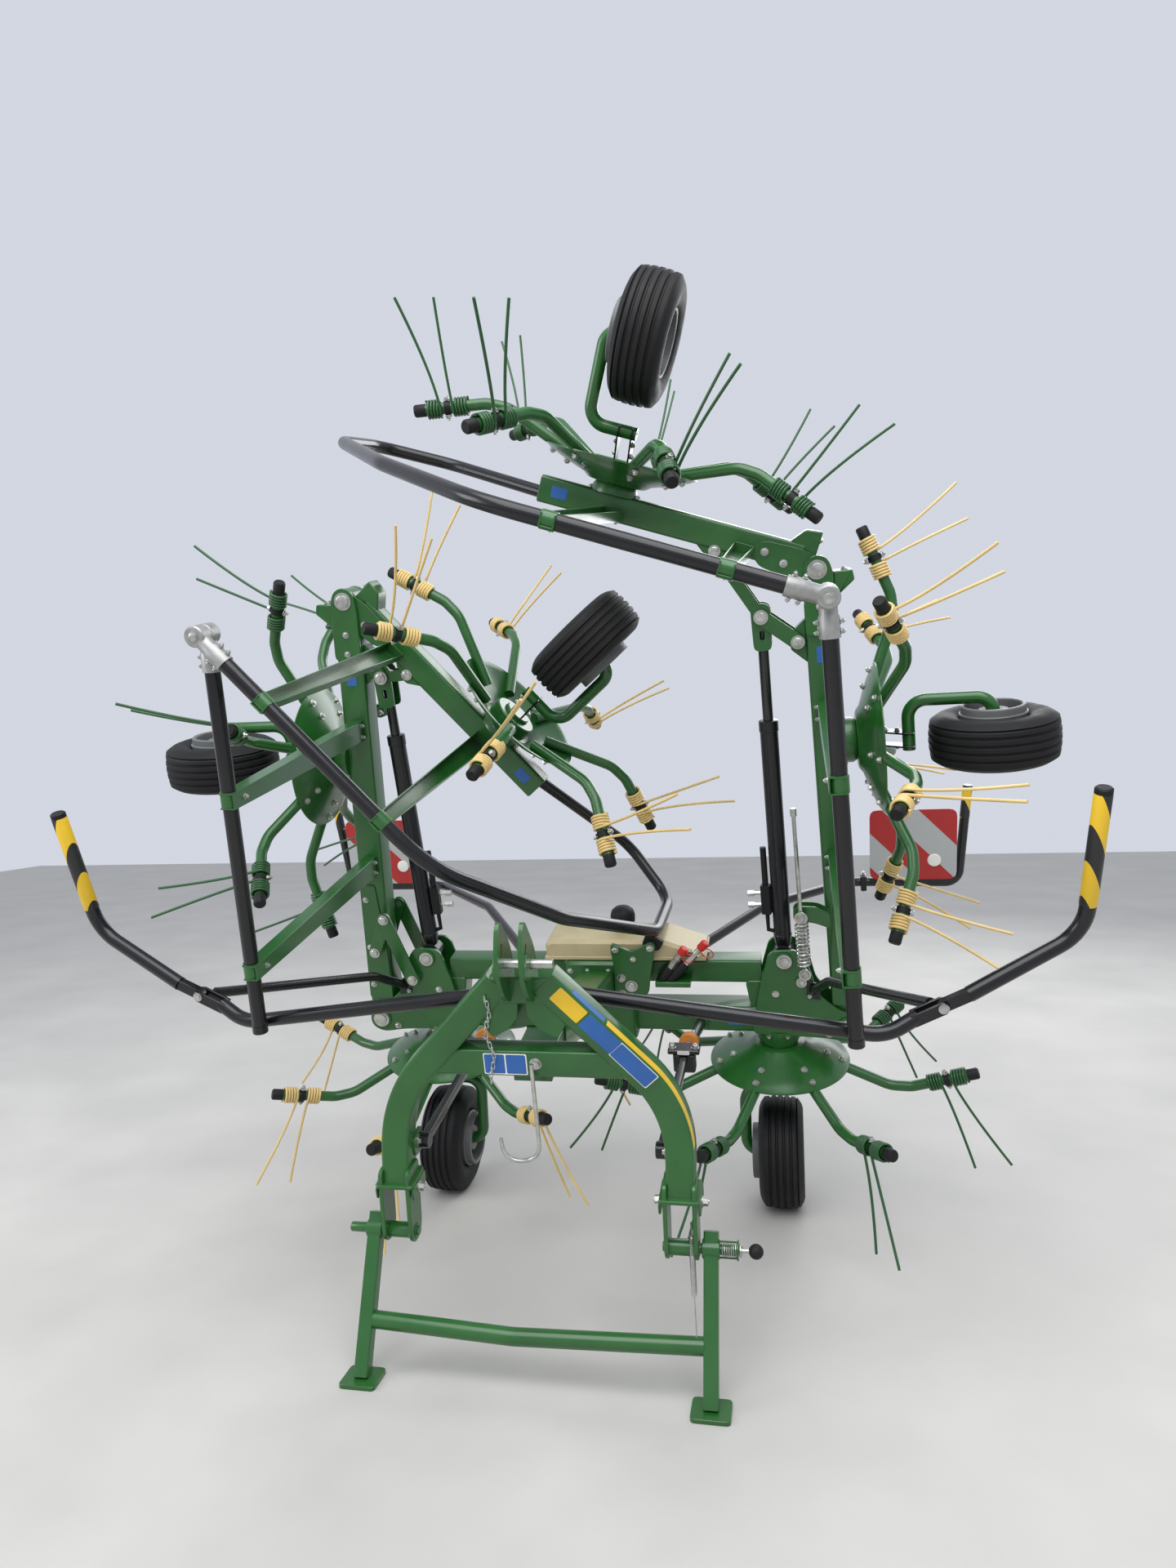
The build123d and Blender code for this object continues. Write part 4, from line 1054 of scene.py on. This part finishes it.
# Damping struts: black struts from the headstock, a bolted clamp, then a bright rod through a rubber ring
lowEnd, clampAt = unleaned((0.349, -1.077, 0.611)), unleaned((0.359, -0.541, 0.722))
highEnd = np.array((0.372, -0.0843, 0.012))
way, far = unit(clampAt - lowEnd), unit(highEnd - clampAt)
x, y, z = clampAt


def beyondClamp(distance, up):
    return clampAt + far * distance + np.array((0, 0, up))


strut = [bar("x", lowEnd, (-0.016, -0.014, 0.014, 0.016), (0.022, 0.024, 0.024, 0.022))]
strut.append(swept([lowEnd + way * 0.02, clampAt - way * 0.01], rounded(0.013, 0.013, 0.005), (1, 0, 0)))
strut.append(block((x - 0.052, x + 0.052), (y - 0.03, y + 0.026), (z + 0.018, z + 0.034), 0.003))
strut.append(block((x - 0.036, x + 0.036), (y - 0.026, y + 0.022), (z - 0.052, z + 0.018), 0.006))
strut.append(tube([clampAt + far * 0.17, highEnd], (0.015, 0.02), 20))
bright = [tube([beyondClamp(0, 0.014), beyondClamp(0.18, 0.016)], 0.013, 20)]
bright.append(tube([beyondClamp(0.18, 0.016), beyondClamp(0.24, 0.022)], 0.008, 16))
bright += boltRow([clampAt + np.array((x, -0.01, 0.034)) for x in (-0.038, 0.038)], upward, 0.01, 0.011)
ringPath = [beyondClamp(distance, 0.016) for distance in (0.1, 0.104, 0.136, 0.14)]
ring = tube(ringPath, (0.029, 0.033, 0.033, 0.029), 32)
plate = label((x, z + 0.026), (1, 0), 0.02, 0.007, y - 0.0302)
for side in sides:
    sidePiece("damperStrut", strut, "blackPaint", side, node="damper")
    sidePiece("damperRod", bright, "zincSteel", side)
    sidePiece("damperRing", [ring], "orangeRubber", side)
    sidePiece("damperLabel", [plate], "whitePlate", side)
print("dampers")

# Cover over the gearbox, its cap, and the hydraulic couplers with red caps
cover = {
    "low": 0.2683, "high": 0.344, "front": -0.085, "back": 0.1,
    "couplers": (((0.228, -0.092, 0.18), (0.33, -0.112, 0.328)),
                 ((0.268, -0.096, 0.196), (0.408, -0.116, 0.352))),
}
coverLow, coverHigh = cover["low"], cover["high"]
hood = [(-0.2, coverLow), (-0.2, coverHigh - 0.012), (-0.18, coverHigh)]
hood += [(0.25, coverHigh), (0.4, coverLow + 0.022), (0.4, coverLow)]
shapes = [softPlate(hood, 0.01, cover["front"], cover["back"], "y", 0.012)]
brim = rectangle((-0.204, 0.404), (coverLow + 0.001, coverLow + 0.014))
shapes.append(softPlate(brim, 0.004, cover["front"] - 0.005, cover["back"] + 0.003, "y", 0.002))
addPiece("coverShell", shapes, "creamPlastic", replaced=("gearbox_cover",))
domeProfile = [(0.02, 0), (0.02, 0.034), (0.046, 0.036), (0.047, 0.06), (0.042, 0.078), (0.028, 0.09)]
dome = turned(domeProfile + [(0.001, 0.094)], 36, "z", (0.085, 0.03, coverHigh - 0.002))
plug = turned([(0.014, 0), (0.014, 0.003), (0.01, 0.005)], 20, "y", (0.345, 0, 0.288))
plug = (plug[0] * np.array((1, -1, 1)) + np.array((0, cover["front"], 0)), plug[1])
addPiece("coverCap", [dome, plug], "blackRubber")
sleeves, metal, caps = [], [], []
for start, end in cover["couplers"]:
    start, end = np.array(start), np.array(end)
    run = end - start
    turnings = (
        (sleeves, (0, 0.05, 0.4, 0.46), (0.017, 0.0185, 0.0185, 0.015), 20),
        (metal, (0.42, 0.72), 0.015, 6), (metal, (0.7, 0.74, 0.92), (0.012, 0.0105, 0.0105), 20),
        (caps, (0.84, 0.86, 1.0, 1.02), (0.013, 0.016, 0.016, 0.012), 24),
    )
    for group, shares, radii, count in turnings:
        group.append(tube([start + run * share for share in shares], radii, count))
    sleeves.append(tube([start - np.array((0, 0.004, 0)), start + run * 0.02], 0.01, 12))
    ringMiddle = start + run * 0.88 + np.array((0.022, -0.01, -0.018))
    caps.append(wireRing(ringMiddle, (0.0198, 0, -0.00968), (0.00704, 0, 0.0144), 0.0022, 25, 8))
addPiece("couplerSleeves", sleeves, "blackRubber", replaced=("hydraulic_couplers",))
addPiece("couplerBodies", metal, "zincSteel")
addPiece("couplerCaps", caps, "redPlastic")
print("cover and couplers")

# Warning boards on bent carriers, each with a round reflector and a striped strip above
board = {
    "x": (1.06, 1.43), "y": (0.926, 0.9297), "z": (0.195, 0.52), "corner": 0.035, "reflector": 1.335,
    "carrier": ((0.312, 0.045, 0.225), (0.598, 0.5, 0.242), (0.971, 0.95, 0.176), (1.44, 0.95, 0.172),
                (1.474, 0.95, 0.62)),
}
carrier = [tube(roundedPath(board["carrier"], (0.2, 0.12, 0.06), 10), 0.02, 20)]
carrier.append(block((1.02, 1.045), (0.92, 0.98), (0.142, 0.212)))
carrier.append(block((1.06, 1.43), (0.93, 0.9345), (0.176, 0.2), 0.001))
carrier.append(softPlate(rectangle((0.285, 0.34), (0.165, 0.248)), 0.01, 0.0445, 0.0525))
bolts = hexBolt((1.032, 0.95, 0.212), upward, 0.008, 0.01)
bolts += hexBolt((1.032, 0.95, 0.142), downward, 0.008, 0.01)
plate = softPlate(rectangle(board["x"], board["z"]), board["corner"], *board["y"], "y", 0.0006, 4)
discProfile = [(0.001, 0), (0.022, 0), (0.027, 0.001), (0.029, 0.004), (0.029, 0.007)]
stripPath = [(1.463, 0.95, 0.475), (1.463, 0.95, 0.4755), (1.4735, 0.95, 0.6125), (1.4735, 0.95, 0.613)]
strip = tube(stripPath, (0.0201, 0.0209, 0.0209, 0.0201), 20)
for side in sides:
    sidePiece("carrierTube", carrier, "blackPaint", side, node="board_carrier")
    sidePiece("carrierBolts", bolts, "zincSteel", side)
    sidePiece("boardPlate", [plate], "boardStripes", side, node="warning_board")
    reflectX = board["reflector"] if side == "right" else sum(board["x"]) - board["reflector"]
    disc = turned(discProfile, 36, "y", (reflectX, board["y"][0] - 0.006, 0.285))
    sidePiece("boardReflector", [disc], "whitePlate", side)
    sidePiece("carrierStrip", [strip], "hazard" + side.title(), side)
print("boards")

# Folding cylinders: barrel with base eye, valve block and gland, polished rod, clevis and its pins at the top
cylinder = {
    "pin": (0.684, 0.262), "eye": {"left": (1.371, 0.113), "right": (1.513, 0.193)}, "length": 0.88,
    "rod": 0.018, "linkPin": (1.418, 0.078), "strap": (0.34, 0.03), "valve": (0.215, 0.05),
    "clevis": ((-0.115, -0.03), (-0.115, 0.03), (0.03, 0.034), (0.045, 0.016), (0.045, -0.016),
               (0.03, -0.034)),
    "slot": ((-0.046, 0.008), (-0.046, -0.008), (-0.078, -0.008), (-0.078, 0.008)),
}
for side in sides:
    station, reach = cylinder["eye"][side]
    c, s = math.cos(machine["middleFold"]), math.sin(machine["middleFold"])
    base = np.array((cylinder["pin"][0], 0, cylinder["pin"][1]))
    eye = np.array((pivotX + c * station - s * reach, 0, s * station + c * reach))
    way = unit(eye - base)
    aside = np.array((way[2], 0, -way[0]))
    end = cylinder["length"]
    places = (0.035, 0.045, 0.078, 0.082, end - 0.04, end - 0.038, end - 0.002, end)
    radii = (0.026, 0.03, 0.034, 0.0315, 0.0315, 0.034, 0.034, 0.031)
    shapes = [tube([base + way * at for at in places], radii, 32)]
    shapes.append(bar("y", base, (-0.03, -0.0285, 0.0285, 0.03), (0.0375, 0.04, 0.04, 0.0375), 32))
    sidePiece("barrelTube", shapes, "blackPaint", side, 0, "fold_barrel", "fold_barrel")
    along, out = cylinder["valve"]
    valve = base + way * along - aside * out
    lines = [tube([valve - way * 0.055, valve + way * 0.055], 0.023, 4)]
    lines.append(tube([valve + way * 0.055, valve + way * 0.2], 0.011, 12))
    bent = [valve - way * 0.055, valve - way * 0.12, valve - way * 0.125 + aside * 0.02]
    lines.append(tube(bent, 0.008, 12))
    fittings = []
    for at in (-0.02, 0.025):
        start = valve + way * at - aside * 0.016
        steps = [start - aside * d for d in (0, 0.026, 0.0265, 0.05)]
        fittings.append(tube(steps, (0.008, 0.008, 0.012, 0.012), 6))
    sidePiece("barrelValve", lines, "blackRubber", side, 0, "fold_barrel")
    sidePiece("barrelFittings", fittings, "zincSteel", side, 0, "fold_barrel")
    rod = [tube([base + way * 0.072, eye - way * 0.028], cylinder["rod"], 24)]
    rod.append(bar("y", eye, (-0.025, -0.024, 0.024, 0.025), (0.03, 0.032, 0.032, 0.03), 28))
    sidePiece("rodSteel", rod, "blackSteel", side, 0, "fold_rod", "fold_rod")
    outlines = [[(eye + way * a + aside * b)[::2] for a, b in cylinder[key]] for key in ("clevis", "slot")]
    outline, hole = softened(outlines[0], 0.02), softened(outlines[1], 0.008)
    plates = [ringPlate(outline, hole, y, y + 0.008) for y in (-0.036, 0.028)]
    heads = pinPair(eye[0], 0.0485, eye[2], 0.017, 0.01)
    heads.append(bar("y", eye, (-0.0485, 0.0485), 0.016, 20))
    sidePiece("rodClevis", plates, "greenPaint", side, 0, "fold_rod")
    sidePiece("rodPin", heads, "zincSteel", side, 0, "fold_rod")
print("cylinders")

# Link plates at the left fold, and a spring strut in front of the right one
linkPins = ((0.744, 0.18), (0.831, 0.433), (0.888, 0.292))
plates, heads = [], []
for low in (-0.0965, 0.078):
    plates.append(linkPlate(*linkPins[:2], 0.027, low, low + 0.008))
    heads.append(pinHead((linkPins[0][0], low, linkPins[0][1]), (0, low, 0), 0.014, 0.01))
for low in (-0.0885, 0.07):
    plates.append(linkPlate(*linkPins[1:], 0.024, low, low + 0.008))
for (x, z), front, back in zip(linkPins[1:], (-0.0965, -0.0885), (-0.066, -0.07)):
    heads += [bar("y", (x, 0, z), (front, back), 0.012, 20), pinHead((x, front, z), forward, 0.014, 0.01)]
    heads.append(bar("y", (x, 0, z), (0.069, 0.088), 0.012, 20))
addPiece("foldLinkPlates", plates, "greenPaint", side="left")
addPiece("foldLinkHeads", heads, "zincSteel", side="left")
strutLug = [(0.722, 0.434), (0.722, 0.474), (0.742, 0.488), (0.8, 0.486)]
strutLug += [(0.848, 0.462), (0.848, 0.404), (0.795, 0.424)]
low, high = np.array((0.757, -0.122, 0.239)), np.array((0.748, -0.122, 0.456))
along, length = unit(high - low), np.linalg.norm(high - low) - 0.05
strut = [spring(low + along * 0.03, along, length, 12, 0.021, 0.0042, 240, 7)]
strut.append(tube([low, high + along * 0.375], 0.007, 12))
strut.append(tube([high + along * 0.372, high + along * 0.4], 0.011, 6))
for end, radius, height in ((low, 0.015, 0.009), (high, 0.016, 0.01)):
    strut.append(pinHead(end - np.array((0, 0.012, 0)), forward, radius, height))
    strut.append(bar("y", end, (-0.012, 0.018), 0.012, 14))
addPiece("strutSpring_right", strut, "zincSteel")
lugPlates = platesAt(softened(strutLug, 0.014), (-0.104, -0.058), 0.006, "y", 0.001)
addPiece("strutLug_right", lugPlates, "greenPaint")
print("struts")

# Arms: rounded beams with gear housings, hinge cheeks, stops and gussets; outlines count from the fold pin
arm = {
    "half": 0.048, "cheek": 0.014, "outerHalf": 0.042, "outerCheek": 0.0055, "outerZ": (-0.065, 0.025),
    "housing": 0.078,
    "middleCheeks": ((-0.215, -0.05), (-0.215, 0.05), (-0.03, 0.048), (0.034, 0.036), (0.05, 0),
                     (0.034, -0.036), (-0.01, -0.05)),
    "middleStop": ((-0.12, -0.046), (-0.012, -0.052), (-0.012, -0.112), (-0.045, -0.118), (-0.085, -0.07)),
    "gusset": ((0.08, -0.048), (0.08, 0.048), (0.3, 0.04), (0.56, 0.012), (0.56, -0.048)),
    "outerCheeks": ((-0.03, -0.03), (-0.04, 0.01), (-0.02, 0.038), (0.09, 0.052), (0.19, 0.038),
                    (0.23, -0.01), (0.19, -0.045), (0.06, -0.05)),
    "outerStop": ((0.016, -0.036), (0.11, -0.062), (0.07, -0.112), (0.016, -0.118)),
}


def wedge(outline, half):
    return softPlate(outline, 0.006, -half, half, "y", 0.004, 3)


def besides(origin, outline):
    return [(origin + x, z) for x, z in outline]


def lugOutline(x, low, high, wide, narrow):
    # a lug that narrows from the beam up to its pin
    return [(x - wide, low), (x + wide, low), (x + narrow, high), (x - narrow, high)]


def armCore(hinge, half, radius, heights, row, housingLow):
    # hinge tube, the block behind it and the housing over the rotor
    ys = (-half, -half + 0.002, half - 0.002, half)
    shapes = [bar("y", (hinge, 0, 0), ys, (radius - 0.002, radius, radius, radius - 0.002), 36)]
    shapes.append(block((hinge, hinge + 0.09), (-half + 0.001, half - 0.001), heights, 0.004))
    profile = [(0.06, -0.0947), (0.07, -0.0935), (arm["housing"], -0.08), (arm["housing"], housingLow)]
    return shapes + [turned(profile, 48, "z", (rotorTable[row]["x"], 0, 0))]


for side in sides:
    half, thick = arm["half"], arm["cheek"]
    footX, footZ = pivotX + cylinder["linkPin"][0], cylinder["linkPin"][1]
    shapes = [swept([(pivotX + 0.06, 0, 0), (hingeX - 0.11, 0, 0)], rounded(half, 0.05))]
    shapes += armCore(pivotX, half, 0.052, (-0.045, 0.045), "mid", -0.045)
    cheek = softened(besides(hingeX, arm["middleCheeks"]), 0.022)
    shapes += platesAt(cheek, (-half - thick, half), thick, "y", 0.002)
    shapes.append(bar("y", (hingeX, 0, 0), (-0.055, 0.055), 0.022, 20))
    shapes.append(wedge(besides(hingeX, arm["middleStop"]), 0.046))
    shapes.append(wedge(lugOutline(footX, 0.048, 0.102, 0.075, 0.026), 0.03))
    gusset = softened(besides(pivotX, arm["gusset"]), 0.012)
    shapes += platesAt(gusset, (-half - 0.006, half), 0.006, "y", 0.001)
    sidePiece("middleArmBeam", shapes, "greenPaint", side, 1, node="middle_arm")
    ends = besides(pivotX, (cylinder["eye"][side], cylinder["linkPin"]))
    links = [linkPlate(*ends, 0.026, y, y + 0.008) for y in (-0.0475, 0.0395)]
    sidePiece("foldLinks", links, "greenPaint", side, 1)
    pins = pinPair(hingeX, 0.062, 0, 0.022, 0.01) + pinPair(footX, 0.0475, footZ, 0.016, 0.01)
    pins.append(bar("y", (footX, 0, footZ), (-0.0475, 0.0475), 0.015, 18))
    pins += boltPairs([(hingeX - 0.19, 0), (hingeX - 0.12, 0)], 0.062, 0.009, 0.007)
    pins += boltRow([(hingeX - 0.012, y, -0.088) for y in (-0.022, 0.022)], (1, 0, 0), 0.009, 0.004)
    spots = [(pivotX + x, -half - 0.006, -0.028) for x in (0.14, 0.3, 0.5)]
    pins += boltRow(spots, forward, 0.009) + housingBolts(rotorTable["mid"]["x"], 0.038, -0.05)
    sidePiece("middleArmPins", pins, "zincSteel", side, 1)

    half, thick = arm["outerHalf"], arm["outerCheek"]
    strapX, strapZ = hingeX + cylinder["strap"][0], cylinder["strap"][1]
    shapes = [beam(hingeX + 0.06, beamEnd, *arm["outerZ"], half)]
    shapes += armCore(hingeX, half, 0.044, (-0.04, 0.025), "outer", -0.06)
    cheek = softened(besides(hingeX, arm["outerCheeks"]), 0.022)
    shapes += platesAt(cheek, (-half - thick, half), thick, "y", 0.001)
    shapes.append(wedge(besides(hingeX, arm["outerStop"]), 0.04))
    shapes.append(wedge(lugOutline(strapX, 0.02, 0.056, 0.07, 0.02), 0.036))
    sidePiece("outerArmBeam", shapes, "greenPaint", side, 2, node="outer_arm")
    fold = machine["outerFold"][side]
    c, s = math.cos(fold), math.sin(fold)
    x, z = cylinder["eye"][side][0] - (hingeX - pivotX), cylinder["eye"][side][1]
    strapStart, strapEnd = np.array((hingeX + c * x + s * z, c * z - s * x)), np.array((strapX, strapZ))
    straps = [linkPlate(strapStart, strapEnd, 0.02, y, y + 0.007) for y in (-0.0395, 0.0285)]
    way = unit(strapEnd - strapStart)
    spine = [strapStart + way * 0.05, strapEnd - way * 0.04]
    straps.append(swept([(x, 0, z) for x, z in spine], rounded(0.03, 0.004, 0.003)))
    sidePiece("foldStraps", straps, "greenPaint", side, 2)
    heads = pinPair(strapX, 0.0395, strapZ, 0.014, 0.009)
    heads += boltPairs([(hingeX + 0.11, 0.01), (hingeX + 0.18, -0.01)], 0.0475, 0.01, 0.008)
    heads += boltRow([(hingeX + 0.016, y, -0.09) for y in (-0.018, 0.018)], (-1, 0, 0), 0.009, 0.004)
    heads += housingBolts(rotorTable["outer"]["x"], 0.034, -0.065)
    sidePiece("outerArmBolts", heads, "zincSteel", side, 2)
    capOutline = rounded(0.038, 0.041, 0.01) + np.array((0, -0.02))
    cap = cutPlate(capOutline, beamEnd - 0.001, beamEnd + 0.003, "x", 0.001)
    sidePiece("outerArmCap", [cap], "greyPaint", side, 2)
    sticker = label((beamEnd - 0.07, -0.02), (1, 0), 0.028, 0.019, -half - 0.0002)
    sidePiece("outerArmLabel", [sticker], "plateBlue", side, 2)
    sticker = label((hingeX - 0.28, 0.0), (1, 0), 0.028, 0.019, -0.0482)
    sidePiece("middleArmLabel", [sticker], "plateBlue", side, 1)
print("arms")

# Stage: floor and soft light
floorMesh = bpy.data.meshes.new("floor")
reach = 14.0
corners = [(-reach, -reach, 0), (reach, -reach, 0), (reach, reach, 0), (-reach, reach, 0)]
floorMesh.from_pydata(corners, [], [(0, 1, 2, 3)])
floor = bpy.data.objects.new("floor", floorMesh)
bpy.context.collection.objects.link(floor)
floor.data.materials.append(finish("floorConcrete", (0.5, 0.49, 0.46), 0.6, mottle=0.08, scale=1.5))
floor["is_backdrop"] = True

world = bpy.data.worlds.new("hall")
bpy.context.scene.world = world
world.use_nodes = True
world.node_tree.nodes["Background"].inputs["Color"].default_value = (0.86, 0.9, 1.0, 1.0)
world.node_tree.nodes["Background"].inputs["Strength"].default_value = 0.75


def lamp(name, place, target, size, power):
    # a soft square light that faces its target
    light = bpy.data.lights.new(name, "AREA")
    light.size = size
    light.energy = power
    holder = bpy.data.objects.new(name, light)
    holder.location = place
    holder.rotation_euler = (Vector(target) - Vector(place)).to_track_quat("-Z", "Y").to_euler()
    bpy.context.collection.objects.link(holder)


lamp("skyLight", (0.5, -3.5, 6.5), (0, 0, 1), 6.0, 420)
lamp("sideLight", (-5.5, -3.0, 3.5), (0, 0, 1), 3.0, 130)
lamp("backLight", (2.0, 5.0, 4.5), (0, 0, 1), 4.0, 160)

low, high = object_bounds()
